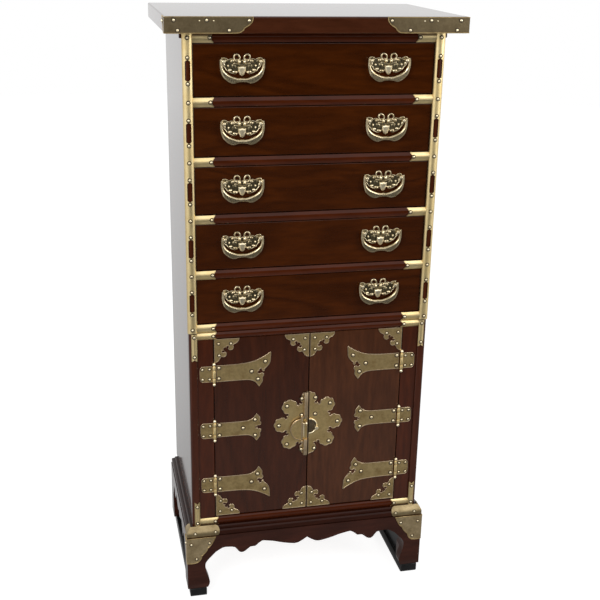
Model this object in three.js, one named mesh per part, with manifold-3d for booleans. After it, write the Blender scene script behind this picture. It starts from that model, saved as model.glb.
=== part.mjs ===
// Jewellery chest with drawers: a lacquered chest of five drawers over a two-door cupboard,
// with brass pulls, strap hinges and lock, on a low leg frame.
// Millimetres. +X is the chest's right, +Y its back, +Z up. The origin is under its middle, on the floor.

import * as THREE from 'three';
import { mergeVertices } from 'three/addons/utils/BufferGeometryUtils.js';
import Module from 'manifold-3d';

const wasm = await Module();
wasm.setup();

// ---------- driving sizes ----------

const CHEST_HEIGHT = 1016;
const REST_GAP = 0.2;
const CORNER_MERGE = 0.004;

const TOP_WIDTH = 470;
const TOP_DEPTH = 306;
const TOP_THICK = 25;
const TOP_EDGE_ROUND = 3;
const CORNICE_DROP = 9;
const CORNICE_PROUD = 5;

const CASE_WIDTH = 413;
const CASE_FRONT_SETBACK = 24.5;
const CASE_BACK_SETBACK = 8;
const SIDE_THICK = 12;
const BACK_THICK = 6;
const BACK_INSET = 2;

const FRAME_THICK = 16;
const STILE_WIDTH = 13.5;
const STILE_ROUND = 4;
const TOP_RAIL_HEIGHT = 14.8;
const RAIL_HEIGHT = 14;
const RAIL_CROWN = 2.6;
const RAIL_SETBACK = 0.4;
const CASE_JOINT = 1.2;
const DOOR_HEAD_RAIL = 11.1;
const DOOR_SILL_RAIL = 14;
const JAMB_SETBACK = 3.5;

const DRAWER_COUNT = 5;
const TOP_DRAWER_OPENING = 82;
const DRAWER_OPENING = 78.8;
const DRAWER_FRONT_THICK = 12;
const DRAWER_FRONT_SETBACK = 4;
const DRAWER_FRONT_GAP = 1.4;
const DRAWER_BOX_HEIGHT = 60;
const DRAWER_WALL = 9;
const DRAWER_BOTTOM = 6;
const DRAWER_SIDE_GAP = 1.5;
const DRAWER_BACK_GAP = 12;
const DRAWER_RUN_GAP = 0.3;
const RACK_CHEEK = 4;
const RACK_SHELF = 8;

const DOOR_THICK = 15;
const DOOR_SEAM_GAP = 1.6;
const DOOR_HINGE_GAP = 1.4;
const DOOR_TOP_GAP = 1.3;
const DOOR_BOTTOM_GAP = 2.5;
const LEAF_MARGIN = 6;
const FLOOR_THICK = 11;

const RUNNER_HEIGHT = 18.3;
const RUNNER_WIDTH = 29.5;
const RUNNER_INSET = 4.5;
const RUNNER_PROUD = 1.7;
const RUNNER_ROUND = 6;
const LEG_FRAME_TOP = 123.7;
const LEG_FRAME_PROUD = 11.5;
const LEG_FRAME_BACK_INSET = 2;
const LEG_FRONT_PROUD = 9.8;
const APRON_THICK = 17;
const LEG_POST = 34;
const KNEE_REACH = 38;
const ANKLE_REACH = 32.4;
const FOOT_REACH = 39.8;
const APRON_DROP = 28;
const KNEE_DROP = 47;
const ANKLE_HEIGHT = 52;
const TOE_HEIGHT = 11.5;
const BASE_MOULD_HEIGHT = 16.3;
const BASE_MOULD_PROUD = 10.5;
const BASE_MOULD_STEP = 4;
const BASE_RING_WIDTH = 27;

const HINGE_PIN_RADIUS = 1.5;
const HINGE_BORE_RADIUS = 1.9;
const KNUCKLE_RADIUS = 2.7;
const KNUCKLE_STANDOFF = 3.2;
const HINGE_LEAF_HEIGHT = 30;
const HINGE_LEAF_WIDTH = 22;
const LEAF_ROOT = 2.5;
const LEAF_CORNER = 5;
const LEAF_CORNER_EASE = 1.5;
const HINGE_PIN_LENGTH = 43;
const HINGE_FINIAL_RADIUS = 3;
const STRAP_KNUCKLE = 14;
const STRAP_ROOT_HEIGHT = 31;
const HINGE_INSET = 63;
const HINGE_RUN_GAP = 0.4;
const PLATE_THICK = 1.4;

const PULL_SPREAD = 233;
const PULL_BAIL_WIDTH = 69;
const PULL_BAIL_DROP = 32.7;
const PULL_BAIL_THICK = 3.2;
const PULL_PIVOT_RISE = 13;
const PULL_STANDOFF = 6.5;
const PULL_PIN_RADIUS = 1.15;
const PULL_EYE_RADIUS = 1.55;
const PULL_POST_RADIUS = 3.2;
const POST_WALL = 1.4;
const LOOP_PLACE = 7.8;
const LOOP_RISE = 19.3;
const LOOP_HOLE = 2.6;

const LOCK_RADIUS = 61.5;
const LOCK_LOBES = 8;
const LOCK_LOBE_DEPTH = 17;
const LOCK_RISE = 1;
const LOCK_BAR_WIDTH = 8.2;
const LOCK_BAR_PROUD = 4.6;
const LOCK_BAR_GAP = 41;
const LOCK_BAR_GAP_DROP = 9.5;
const MOON_RADIUS = 21;
const MOON_THICK = 1.8;
const MOON_AXIS_INSET = 11;
const MOON_ROD_RADIUS = 1.2;
const MOON_EYE_RADIUS = 1.6;
const MOON_STANDOFF = 3.4;
const STAPLE_RISE = 7;
const STAPLE_HOLE = 2;
const HANG_PIN_RADIUS = 1.3;
const HANG_PIN_DROP = 25;
const CUP_RADIUS = 15;
const CUP_WALL = 1.6;
const CUP_RISE = 3;
const STUD_RADIUS = 3.4;
const STUD_RISE = 9;

// ---------- places worked out from the sizes ----------

const topFront = -TOP_DEPTH / 2;
const caseHalf = CASE_WIDTH / 2;
const caseFront = topFront + CASE_FRONT_SETBACK;
const caseBack = TOP_DEPTH / 2 - CASE_BACK_SETBACK;
const caseTop = CHEST_HEIGHT - TOP_THICK;
const frameBack = caseFront + FRAME_THICK;
const insideFront = frameBack + REST_GAP;
const insideHalf = caseHalf - SIDE_THICK;
const backInner = caseBack - BACK_INSET - BACK_THICK;
const openingHalf = caseHalf - STILE_WIDTH;
const baseBottom = LEG_FRAME_TOP + REST_GAP;
const baseTop = baseBottom + BASE_MOULD_HEIGHT;
const caseBottom = baseTop + REST_GAP;
const sillTop = caseBottom + DOOR_SILL_RAIL;

const drawers = [];
let openingTop = caseTop - REST_GAP - TOP_RAIL_HEIGHT;
for (let i = 0; i < DRAWER_COUNT; i += 1) {
  const height = i === 0 ? TOP_DRAWER_OPENING : DRAWER_OPENING;
  drawers.push({ name: `drawer_${i + 1}`, top: openingTop, bottom: openingTop - height });
  openingTop -= height + RAIL_HEIGHT;
}
const upperFrameBottom = openingTop;
const lowerFrameTop = upperFrameBottom - CASE_JOINT;
const doorHead = lowerFrameTop - DOOR_HEAD_RAIL;

const doorFace = caseFront + JAMB_SETBACK;
const doorTop = doorHead - DOOR_TOP_GAP;
const doorBottom = sillTop + DOOR_BOTTOM_GAP;
const doorMiddle = (doorTop + doorBottom) / 2;
const jambWidth = HINGE_LEAF_WIDTH + LEAF_MARGIN;
const doorOuter = openingHalf - jambWidth - DOOR_HINGE_GAP / 2;
const doorInner = DOOR_SEAM_GAP / 2;
const jambInner = doorOuter + DOOR_HINGE_GAP;
const hingeX = (doorOuter + jambInner) / 2;
const hingeY = doorFace - KNUCKLE_STANDOFF;
const metalBack = doorFace - REST_GAP / 2;

// ---------- finishes ----------

function finish(color, roughness, metalness) {
  return () => new THREE.MeshStandardMaterial({ color, roughness, metalness });
}
const lacquer = finish(0x4a1d10, 0.25, 0);
const darkLacquer = finish(0x32160f, 0.25, 0);
const plainWood = finish(0x9a6b42, 0.6, 0);
const blackLacquer = finish(0x0d0b0b, 0.35, 0);
const brass = finish(0x9a8450, 0.38, 1);
const pullBrass = finish(0x7c7350, 0.35, 1);
const lockBrass = finish(0x7a6c42, 0.4, 1);

// ---------- making and joining solids ----------

const chest = new THREE.Group();

function solid(geometry) {
  const bare = geometry.clone();
  bare.deleteAttribute('normal');
  bare.deleteAttribute('uv');
  const merged = mergeVertices(bare, 1e-4);
  const vertProperties = new Float32Array(merged.attributes.position.array);
  const triVerts = new Uint32Array(merged.index.array);
  return new wasm.Manifold(new wasm.Mesh({ numProp: 3, vertProperties, triVerts }));
}

// A boolean can leave corners a hair apart, so they are merged and the empty triangles are dropped.
function geometryOf(body) {
  const mesh = body.getMesh();
  const loose = new THREE.BufferGeometry();
  loose.setAttribute('position', new THREE.BufferAttribute(mesh.vertProperties, 3));
  loose.setIndex(new THREE.BufferAttribute(mesh.triVerts, 1));
  const merged = mergeVertices(loose, CORNER_MERGE);
  const corners = merged.index.array;
  const kept = [];
  for (let i = 0; i < corners.length; i += 3) {
    const [a, b, c] = [corners[i], corners[i + 1], corners[i + 2]];
    if (a !== b && b !== c && c !== a) kept.push(a, b, c);
  }
  merged.setIndex(kept);
  merged.computeVertexNormals();
  return merged;
}

function join(...bodies) {
  return bodies.reduce((whole, body) => whole.add(body));
}

function cut(body, ...tools) {
  return tools.reduce((rest, tool) => rest.subtract(tool), body);
}

function addPiece(name, body, material) {
  const mesh = new THREE.Mesh(geometryOf(body), material());
  mesh.name = name;
  chest.add(mesh);
}

function board(x0, x1, y0, y1, z0, z1) {
  const geometry = new THREE.BoxGeometry(x1 - x0, y1 - y0, z1 - z0);
  geometry.translate((x0 + x1) / 2, (y0 + y1) / 2, (z0 + z1) / 2);
  return solid(geometry);
}

function outline(points) {
  return new THREE.Shape(points.map(([a, b]) => new THREE.Vector2(a, b)));
}

function smooth(points, steps) {
  const curve = new THREE.SplineCurve(points.map(([a, b]) => new THREE.Vector2(a, b)));
  return curve.getPoints(steps).map((point) => [point.x, point.y]);
}

// An upright plate: its outline is in X and Z, and it reaches from yFront to yBack.
function alongY(points, yFront, yBack) {
  const depth = yBack - yFront;
  const geometry = new THREE.ExtrudeGeometry(outline(points), { depth, bevelEnabled: false });
  geometry.rotateX(Math.PI / 2);
  geometry.translate(0, yBack, 0);
  return solid(geometry);
}

// A bar along X: its outline is in Y and Z.
function alongX(points, x0, x1) {
  const geometry = new THREE.ExtrudeGeometry(outline(points), { depth: x1 - x0, bevelEnabled: false });
  geometry.rotateY(Math.PI / 2);
  geometry.rotateX(Math.PI / 2);
  geometry.translate(x0, 0, 0);
  return solid(geometry);
}

// A post along Z: its outline is in X and Y.
function alongZ(points, z0, z1) {
  const geometry = new THREE.ExtrudeGeometry(outline(points), { depth: z1 - z0, bevelEnabled: false });
  geometry.translate(0, 0, z0);
  return solid(geometry);
}

function rod(axis, radius, from, to, sides = 16) {
  const [a, b] = [new THREE.Vector3(...from), new THREE.Vector3(...to)];
  const geometry = new THREE.CylinderGeometry(radius, radius, a.distanceTo(b), sides);
  if (axis === 'x') geometry.rotateZ(Math.PI / 2);
  if (axis === 'z') geometry.rotateX(Math.PI / 2);
  const middle = a.add(b).multiplyScalar(0.5);
  geometry.translate(middle.x, middle.y, middle.z);
  return solid(geometry);
}

function ball(radius, x, y, z) {
  const geometry = new THREE.SphereGeometry(radius, 10, 6);
  geometry.translate(x, y, z);
  return solid(geometry);
}

// A slab whose four edges all carry the same moulding, mitred at the corners.
// The moulding is a list of [inset, z] from its bottom to its top.
function mouldedSlab(x0, x1, y0, y1, moulding) {
  const section = (low, high) => [
    ...moulding.map(([inset, z]) => [high - inset, z]),
    ...moulding.map(([inset, z]) => [low + inset, z]).reverse(),
  ];
  return alongY(section(x0, x1), y0, y1).intersect(alongX(section(y0, y1), x0, x1));
}

function quarterRound(radius, z, upward, steps = 4) {
  const points = [];
  for (let i = 0; i <= steps; i += 1) {
    const angle = (i / steps) * (Math.PI / 2);
    points.push([radius * (1 - Math.sin(angle)), z + upward * radius * (1 - Math.cos(angle))]);
  }
  return upward > 0 ? points : points.reverse();
}

function mirrored(points) {
  return points.map(([a, b]) => [-a, b]).reverse();
}

// ---------- top and case ----------

function topSlab() {
  const half = TOP_WIDTH / 2;
  const edge = [
    ...quarterRound(TOP_EDGE_ROUND, caseTop, 1),
    ...quarterRound(TOP_EDGE_ROUND / 3, CHEST_HEIGHT, -1),
  ];
  const slab = mouldedSlab(-half, half, topFront, TOP_DEPTH / 2, edge);
  const strips = [-1, 1].map((side) => {
    const inner = side * (caseHalf + REST_GAP);
    const outer = side * (caseHalf + CORNICE_PROUD);
    const [x0, x1] = [Math.min(inner, outer), Math.max(inner, outer)];
    return board(x0, x1, caseFront + STILE_ROUND, caseBack, caseTop - CORNICE_DROP, caseTop + 1);
  });
  return join(slab, ...strips);
}

addPiece('top_slab', topSlab(), lacquer);

const sideTop = caseTop - REST_GAP;
for (const [name, side] of [['left', -1], ['right', 1]]) {
  const [x0, x1] = side < 0 ? [-caseHalf, -insideHalf] : [insideHalf, caseHalf];
  addPiece(`side_panel_${name}`, board(x0, x1, insideFront, caseBack, caseBottom, sideTop), lacquer);
}

const betweenSides = insideHalf - REST_GAP;
addPiece(
  'back_panel',
  board(-betweenSides, betweenSides, backInner, backInner + BACK_THICK, caseBottom, sideTop),
  darkLacquer,
);

function stile(side, z0, z1) {
  const round = STILE_ROUND;
  const points = [[openingHalf, frameBack], [caseHalf, frameBack]];
  for (let i = 0; i <= 4; i += 1) {
    const angle = (i / 4) * (Math.PI / 2);
    points.push([caseHalf - round * (1 - Math.cos(angle)), caseFront + round * (1 - Math.sin(angle))]);
  }
  points.push([openingHalf, caseFront]);
  return alongZ(side < 0 ? mirrored(points) : points, z0, z1);
}

function rail(z0, z1) {
  const steps = 8;
  const front = [];
  for (let i = 0; i <= steps; i += 1) {
    const along = (i / steps) * 2 - 1;
    const setback = RAIL_SETBACK + RAIL_CROWN * along * along;
    front.push([caseFront + setback, z0 + ((along + 1) / 2) * (z1 - z0)]);
  }
  return alongX([...front, [frameBack, z1], [frameBack, z0]], -openingHalf - 1, openingHalf + 1);
}

function upperFaceFrame() {
  const top = caseTop - REST_GAP;
  const rails = drawers.map(({ bottom }) => rail(bottom - RAIL_HEIGHT, bottom));
  return join(
    stile(-1, upperFrameBottom, top),
    stile(1, upperFrameBottom, top),
    rail(drawers[0].top, top),
    ...rails,
  );
}

function lowerFaceFrame() {
  const jambs = [-1, 1].map((side) => {
    const [x0, x1] = side < 0 ? [-openingHalf - 1, -jambInner] : [jambInner, openingHalf + 1];
    return board(x0, x1, doorFace, frameBack, caseBottom + 1, lowerFrameTop - 1);
  });
  return join(
    stile(-1, caseBottom, lowerFrameTop),
    stile(1, caseBottom, lowerFrameTop),
    rail(doorHead, lowerFrameTop),
    rail(caseBottom, sillTop),
    ...jambs,
  );
}

addPiece('upper_face_frame', upperFaceFrame(), lacquer);
addPiece('lower_face_frame', lowerFaceFrame(), darkLacquer);

const insideBack = backInner - REST_GAP;
addPiece(
  'cupboard_floor',
  board(-betweenSides, betweenSides, insideFront, insideBack, sillTop - FLOOR_THICK, sillTop),
  plainWood,
);

// The rack holds the drawers: a thin cheek against each side panel and a dust shelf under each drawer.
function drawerRack() {
  const rackTop = drawers[0].top;
  const rackBottom = drawers.at(-1).bottom - RACK_SHELF;
  const cheeks = [-1, 1].map((side) => {
    const inner = betweenSides - RACK_CHEEK;
    const [x0, x1] = side < 0 ? [-betweenSides, -inner] : [inner, betweenSides];
    return board(x0, x1, insideFront, insideBack, rackBottom, rackTop);
  });
  const shelves = drawers.map(({ bottom }) => (
    board(1 - betweenSides, betweenSides - 1, insideFront, insideBack, bottom - RACK_SHELF, bottom)
  ));
  return join(...cheeks, ...shelves);
}

addPiece('drawer_rack', drawerRack(), plainWood);

// ---------- base ----------

const legHalf = caseHalf + LEG_FRAME_PROUD;
const legFront = caseFront - LEG_FRONT_PROUD;
const legBack = caseBack - LEG_FRAME_BACK_INSET;
const mouldHalf = caseHalf + BASE_MOULD_PROUD;
const mouldFront = legFront + (legHalf - mouldHalf);
const mouldBack = legBack - (legHalf - mouldHalf);

function baseMoulding() {
  const step = baseTop - BASE_MOULD_HEIGHT / 3;
  const edge = [
    ...quarterRound(2, baseBottom, 1),
    ...quarterRound(BASE_MOULD_STEP, step, -1),
    [BASE_MOULD_STEP + 1, step],
    [BASE_MOULD_STEP + 1.5, baseTop - 2],
    [BASE_MOULD_STEP + 3.5, baseTop],
  ];
  const slab = mouldedSlab(-mouldHalf, mouldHalf, mouldFront, mouldBack, edge);
  const inside = board(
    BASE_RING_WIDTH - mouldHalf,
    mouldHalf - BASE_RING_WIDTH,
    mouldFront + BASE_RING_WIDTH,
    mouldBack - BASE_RING_WIDTH,
    baseBottom - 1,
    baseTop + 1,
  );
  return cut(slab, inside);
}

addPiece('base_moulding', baseMoulding(), darkLacquer);

// The apron's scrolls, as shares of the way from the middle to the knee and rises over the apron's edge.
const MIDDLE_SCROLL = [[0, 6], [0.05, 0], [0.12, -5], [0.25, -0.5], [0.34, 4.4], [0.44, 8]];
const SIDE_SCROLL = [
  [0.46, 8], [0.5, 3.2], [0.53, -1.6], [0.58, -2], [0.63, -9.5], [0.67, -11.5],
  [0.7, -8], [0.735, 0.3], [0.8, 2.6], [0.86, 2], [0.93, -5.7],
];

// The right half of one face of the leg frame, from the middle of the apron to the foot.
function legFaceHalf(half) {
  const footZ = RUNNER_HEIGHT + REST_GAP;
  const knee = half - KNEE_REACH;
  const low = LEG_FRAME_TOP - APRON_DROP;
  const overSpan = ([share, rise]) => [share * knee, low + rise];
  const middle = smooth(MIDDLE_SCROLL.map(overSpan), 12);
  const step = smooth(SIDE_SCROLL.map(overSpan), 20);
  const ankle = half - ANKLE_REACH;
  const toe = half - FOOT_REACH;
  const leg = smooth([
    [knee, LEG_FRAME_TOP - KNEE_DROP],
    [ankle, LEG_FRAME_TOP - KNEE_DROP - 9],
    [ankle - 1, ANKLE_HEIGHT],
    [toe, footZ + TOE_HEIGHT],
    [toe + 3.5, footZ],
  ], 12);
  return [...middle, ...step, ...leg, [half, footZ], [half, LEG_FRAME_TOP]];
}

function legFace(half) {
  const right = legFaceHalf(half);
  return [...right, ...mirrored(right).slice(0, -1)];
}

function legFrame() {
  const depthHalf = (legBack - legFront) / 2;
  const depthMiddle = (legBack + legFront) / 2;
  const front = alongY(legFace(legHalf), legFront, legBack);
  const side = alongX(legFace(depthHalf).map(([a, b]) => [a + depthMiddle, b]), -legHalf, legHalf);
  const hollow = (x, y) => board(-x, x, depthMiddle - y, depthMiddle + y, -1, LEG_FRAME_TOP + 1);
  return cut(
    front.intersect(side),
    hollow(legHalf - LEG_POST, depthHalf - APRON_THICK),
    hollow(legHalf - APRON_THICK, depthHalf - LEG_POST),
  );
}

addPiece('leg_frame', legFrame(), darkLacquer);

for (const [name, side] of [['left', -1], ['right', 1]]) {
  const outer = legHalf - RUNNER_INSET;
  const inner = outer - RUNNER_WIDTH;
  const [x0, x1] = side < 0 ? [-outer, -inner] : [inner, outer];
  const front = legFront - RUNNER_PROUD;
  const end = (y, inward) => [
    [y + inward * RUNNER_ROUND, 0],
    [y + inward, RUNNER_ROUND],
    [y, RUNNER_HEIGHT],
  ];
  const points = [...end(front, 1).reverse(), ...end(legBack, -1)];
  addPiece(`floor_runner_${name}`, alongX(points, x0, x1), blackLacquer);
}

// ---------- drawers ----------

const boxHalf = betweenSides - RACK_CHEEK - DRAWER_SIDE_GAP;
const frontFace = caseFront + DRAWER_FRONT_SETBACK;
const frontBack = frontFace + DRAWER_FRONT_THICK;

function drawerBox({ bottom }) {
  const floor = bottom + DRAWER_RUN_GAP;
  const [front, back] = [frontBack + REST_GAP, insideBack - DRAWER_BACK_GAP];
  const block = board(-boxHalf, boxHalf, front, back, floor, floor + DRAWER_BOX_HEIGHT);
  const inside = board(
    DRAWER_WALL - boxHalf,
    boxHalf - DRAWER_WALL,
    front + DRAWER_WALL,
    back - DRAWER_WALL,
    floor + DRAWER_BOTTOM,
    floor + DRAWER_BOX_HEIGHT + 1,
  );
  return cut(block, inside);
}

// One pull: a bat-shaped back plate with scroll loops and two posts, and a bail that hangs in the posts.
const pullHalf = PULL_BAIL_WIDTH / 2;
const bailArm = 2.2;
const postX = pullHalf - bailArm - PULL_POST_RADIUS - 0.5;
const bailY = frontFace - PULL_STANDOFF;
const pullBack = frontFace - REST_GAP / 2;

// The right half of the back plate: from the notch between the loops, round the wing, to the shield's tip.
const wingOutline = [
  [0, 17.5], [4, 22.5], [8, 24.5], [12, 22], [13.5, 17.5], [20, 19], [27, 18.8], [30, 15],
  [29, 9.5], [26, 6], [22.5, 1.5], [18.5, -2.5], [11, -3.6], [7, -1.5], [5, -4.5], [0, -9.2],
];

function pullPlate(x, z) {
  const right = smooth(wingOutline, 24);
  const points = [...right, ...mirrored(right).slice(1, -1)].map(([u, w]) => [x + u, z + w]);
  const plate = alongY(points, pullBack - PLATE_THICK, pullBack);
  const loops = [-LOOP_PLACE, LOOP_PLACE].map((u) => (
    rod('y', LOOP_HOLE, [x + u, pullBack - 4, z + LOOP_RISE], [x + u, pullBack + 4, z + LOOP_RISE], 8)
  ));
  const axisZ = z + PULL_PIVOT_RISE;
  const postTip = bailY - PULL_PIN_RADIUS - POST_WALL;
  const posts = [-postX, postX].map((u) => (
    rod('y', PULL_POST_RADIUS, [x + u, postTip, axisZ], [x + u, pullBack - 0.4, axisZ], 10)
  ));
  const bore = rod('x', PULL_EYE_RADIUS, [x - pullHalf, bailY, axisZ], [x + pullHalf, bailY, axisZ], 10);
  return cut(join(plate, ...posts), ...loops, bore);
}

function bail(x, z) {
  const axisZ = PULL_PIVOT_RISE;
  const lowest = axisZ - PULL_BAIL_DROP;
  const outer = smooth([[pullHalf - 1.4, axisZ + 4], [pullHalf, axisZ - 3], [pullHalf - 0.4, 0], [31.3, -8],
    [26, -14], [19.5, -18.5], [13, lowest], [6.5, lowest + 2], [0, lowest + 2.2]], 16);
  const inner = smooth([[0, -11.8], [6, -11.6], [13, -9.8], [20, -7], [26, -2.8], [30, 3],
    [pullHalf - bailArm, axisZ - 3], [pullHalf - bailArm - 0.3, axisZ + 4]], 10);
  const right = [...outer, ...inner];
  const half = right.map(([u, w]) => [x + u, z + w]);
  const other = mirrored(right).map(([u, w]) => [x + u, z + w]);
  const [front, back] = [bailY - PULL_BAIL_THICK / 2, bailY + PULL_BAIL_THICK / 2];
  const seam = board(x - 1, x + 1, front, back, z + lowest + 2.4, z - 12);
  const pins = [-1, 1].map((side) => rod(
    'x',
    PULL_PIN_RADIUS,
    [x + side * (postX - PULL_POST_RADIUS + 0.6), bailY, z + axisZ],
    [x + side * (pullHalf - bailArm / 2), bailY, z + axisZ],
    10,
  ));
  return join(alongY(half, front, back), alongY(other, front, back), seam, ...pins);
}

for (const drawer of drawers) {
  const { name, top, bottom } = drawer;
  const half = openingHalf - DRAWER_FRONT_GAP;
  addPiece(
    `${name}_front`,
    board(-half, half, frontFace, frontBack, bottom + DRAWER_FRONT_GAP, top - DRAWER_FRONT_GAP),
    lacquer,
  );
  addPiece(`${name}_box`, drawerBox(drawer), plainWood);
  const middle = (top + bottom) / 2;
  for (const [side, x] of [['left', -PULL_SPREAD / 2], ['right', PULL_SPREAD / 2]]) {
    addPiece(`${name}_pull_plate_${side}`, pullPlate(x, middle), pullBrass);
    addPiece(`${name}_bail_${side}`, bail(x, middle), pullBrass);
  }
}

// ---------- doors and hinges ----------

for (const [name, side] of [['left', -1], ['right', 1]]) {
  const [x0, x1] = side < 0 ? [-doorOuter, -doorInner] : [doorInner, doorOuter];
  addPiece(`door_${name}`, board(x0, x1, doorFace, doorFace + DOOR_THICK, doorBottom, doorTop), darkLacquer);
}

// Strap outlines are for the right-hand door: how far from the hinge axis, and how high over its middle.
const strapRoot = HINGE_PIN_RADIUS + 1;
const longStrap = [
  [46, 12.6], [58, 13.5], [67, 19], [73, 26.5], [84, 28], [97.5, 33.2], [94, 24], [91, 14], [85, 8.5],
  [79, 5.5], [75.5, 0], [79, -4.5], [84, -8], [84.5, -18], [77.5, -28.5], [72, -21], [62, -17.5], [52, -13],
];
const shortStrap = [
  [34, 12.6], [46, 14], [55, 19], [63, 18], [73.5, 25.5], [72, 13], [66, 6], [60, 3.5], [57.5, 0],
  [60, -3.5], [66, -6], [72, -13], [73.5, -25.5], [63, -18], [55, -19], [46, -14], [34, -12.6],
];
const flipped = (points) => points.map(([s, h]) => [s, -h]).reverse();

function strap(side, z, fork) {
  const half = STRAP_ROOT_HEIGHT / 2;
  const points = [[strapRoot - 3, -half], [strapRoot - 3, half], ...fork];
  const place = points.map(([s, h]) => [side * (hingeX - s), z + h]);
  const plate = alongY(side > 0 ? place.reverse() : place, metalBack - PLATE_THICK, metalBack);
  const reach = STRAP_KNUCKLE / 2;
  const onAxis = (height) => [side * hingeX, hingeY, z + height];
  const knuckle = rod('z', KNUCKLE_RADIUS, onAxis(-reach), onAxis(reach));
  const bore = rod('z', HINGE_BORE_RADIUS, onAxis(-half), onAxis(half));
  const clear = KNUCKLE_RADIUS + HINGE_RUN_GAP;
  const beside = (z0, z1) => {
    const [a, b] = [side * (hingeX - clear), side * (hingeX + clear)];
    return board(Math.min(a, b), Math.max(a, b), hingeY - clear, metalBack + 1, z0, z1);
  };
  return cut(
    join(plate, knuckle),
    bore,
    beside(z + reach, z + half + 1),
    beside(z - half - 1, z - reach),
    board(...[side * hingeX, side * (hingeX + clear)].sort((a, b) => a - b), metalBack - PLATE_THICK - 0.01,
      metalBack + 1, z - reach, z + reach),
  );
}

function hingeLeaf(side, z) {
  const half = HINGE_LEAF_HEIGHT / 2;
  const [inner, outer] = [hingeX, hingeX + LEAF_ROOT + HINGE_LEAF_WIDTH];
  const eased = [outer - LEAF_CORNER_EASE, half - LEAF_CORNER_EASE];
  const upper = [[outer, half - LEAF_CORNER], eased, [outer - LEAF_CORNER, half], [inner, half]];
  const lower = upper.map(([s, h]) => [s, -h]).reverse();
  const points = [...lower, ...upper];
  const place = points.map(([s, h]) => [side * s, z + h]);
  const plate = alongY(side > 0 ? place : place.reverse(), metalBack - PLATE_THICK, metalBack);
  const clear = KNUCKLE_RADIUS + HINGE_RUN_GAP;
  const gap = STRAP_KNUCKLE / 2 + HINGE_RUN_GAP;
  const [a, b] = [side * (hingeX - clear), side * (hingeX + clear)];
  const notch = board(Math.min(a, b), Math.max(a, b), hingeY - clear, metalBack + 1, z - gap, z + gap);
  const onAxis = (height) => [side * hingeX, hingeY, z + height];
  const barrel = rod('z', KNUCKLE_RADIUS, onAxis(-half), onAxis(half));
  const reach = HINGE_PIN_LENGTH / 2 - HINGE_FINIAL_RADIUS;
  const pin = rod('z', HINGE_PIN_RADIUS, onAxis(-reach), onAxis(reach));
  const finials = [z - reach, z + reach].map((end) => ball(HINGE_FINIAL_RADIUS, side * hingeX, hingeY, end));
  return join(cut(join(plate, barrel), notch), pin, ...finials);
}

const hingePlaces = [
  ['top', doorTop - HINGE_INSET, longStrap],
  ['middle', doorMiddle, shortStrap],
  ['bottom', doorBottom + HINGE_INSET, flipped(longStrap)],
];
for (const [name, side] of [['left', -1], ['right', 1]]) {
  for (const [level, z, fork] of hingePlaces) {
    addPiece(`${level}_hinge_leaf_${name}`, hingeLeaf(side, z), brass);
    addPiece(`${level}_hinge_strap_${name}`, strap(side, z, fork), brass);
  }
}

// ---------- lock ----------

const lockFace = metalBack - PLATE_THICK - LOCK_RISE;

function lockPlate(side) {
  const points = [];
  const steps = LOCK_LOBES * 8;
  for (let i = 0; i < steps; i += 1) {
    const angle = (i / steps) * Math.PI * 2;
    const lobe = Math.abs(Math.cos((angle * LOCK_LOBES) / 2));
    const radius = LOCK_RADIUS - LOCK_LOBE_DEPTH * (1 - lobe) ** 2;
    points.push([radius * Math.cos(angle), doorMiddle + radius * Math.sin(angle)]);
  }
  const disc = alongY(points, lockFace, metalBack);
  const reach = LOCK_RADIUS + 1;
  const [x0, x1] = side < 0 ? [-reach, -doorInner - 0.1] : [doorInner + 0.1, reach];
  return disc.intersect(board(x0, x1, lockFace - 1, metalBack + 1, doorMiddle - reach, doorMiddle + reach));
}

const gapMiddle = doorMiddle - LOCK_BAR_GAP_DROP;
const gapTop = gapMiddle + LOCK_BAR_GAP / 2;
const moonAxisX = -doorInner - MOON_AXIS_INSET;
const moonAxisY = lockFace - MOON_STANDOFF;
const stapleX = -doorInner - LOCK_BAR_WIDTH / 2;
const stapleY = lockFace - STAPLE_RISE + STAPLE_HOLE + 1.2;
const stapleZ = gapTop - 9;
const eyeHalf = 2;
const eyeReach = 2.6;

function lockLeft() {
  const barRight = -doorInner - 0.1;
  const barLeft = barRight - LOCK_BAR_WIDTH;
  const section = [[barLeft, lockFace + 0.5], [barRight, lockFace + 0.5]];
  for (let i = 0; i <= 8; i += 1) {
    const angle = (i / 8) * Math.PI;
    const across = (barLeft + barRight) / 2 + (LOCK_BAR_WIDTH / 2) * Math.cos(angle);
    section.push([across, lockFace - LOCK_BAR_PROUD * Math.sin(angle)]);
  }
  const counterClockwise = section.reverse();
  const upper = alongZ(counterClockwise, gapTop, doorMiddle + LOCK_RADIUS);
  const lower = alongZ(counterClockwise, doorMiddle - LOCK_RADIUS, gapTop - LOCK_BAR_GAP);
  const stapleFront = lockFace - STAPLE_RISE;
  const staple = board(stapleX - 1, stapleX + 1, stapleFront, lockFace + 0.5, stapleZ - 4, stapleZ + 4);
  const stapleHole = rod('x', STAPLE_HOLE, [stapleX - 3, stapleY, stapleZ], [stapleX + 3, stapleY, stapleZ]);
  const eyes = [gapMiddle + MOON_RADIUS, gapMiddle - MOON_RADIUS].map((z, i) => {
    const outward = i === 0 ? 1 : -1;
    const near = z + outward * 0.6;
    const far = near + outward * eyeHalf * 2;
    const [z0, z1] = [Math.min(near, far), Math.max(near, far)];
    const [x0, x1] = [moonAxisX - eyeReach, moonAxisX + eyeReach];
    return board(x0, x1, moonAxisY - eyeReach, lockFace + 0.5, z0, z1);
  });
  const reach = MOON_RADIUS + eyeHalf * 2 + 2;
  const eyeBore = rod(
    'z',
    MOON_EYE_RADIUS,
    [moonAxisX, moonAxisY, gapMiddle - reach],
    [moonAxisX, moonAxisY, gapMiddle + reach],
  );
  return cut(join(lockPlate(-1), upper, lower, staple, ...eyes), stapleHole, eyeBore);
}

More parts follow.
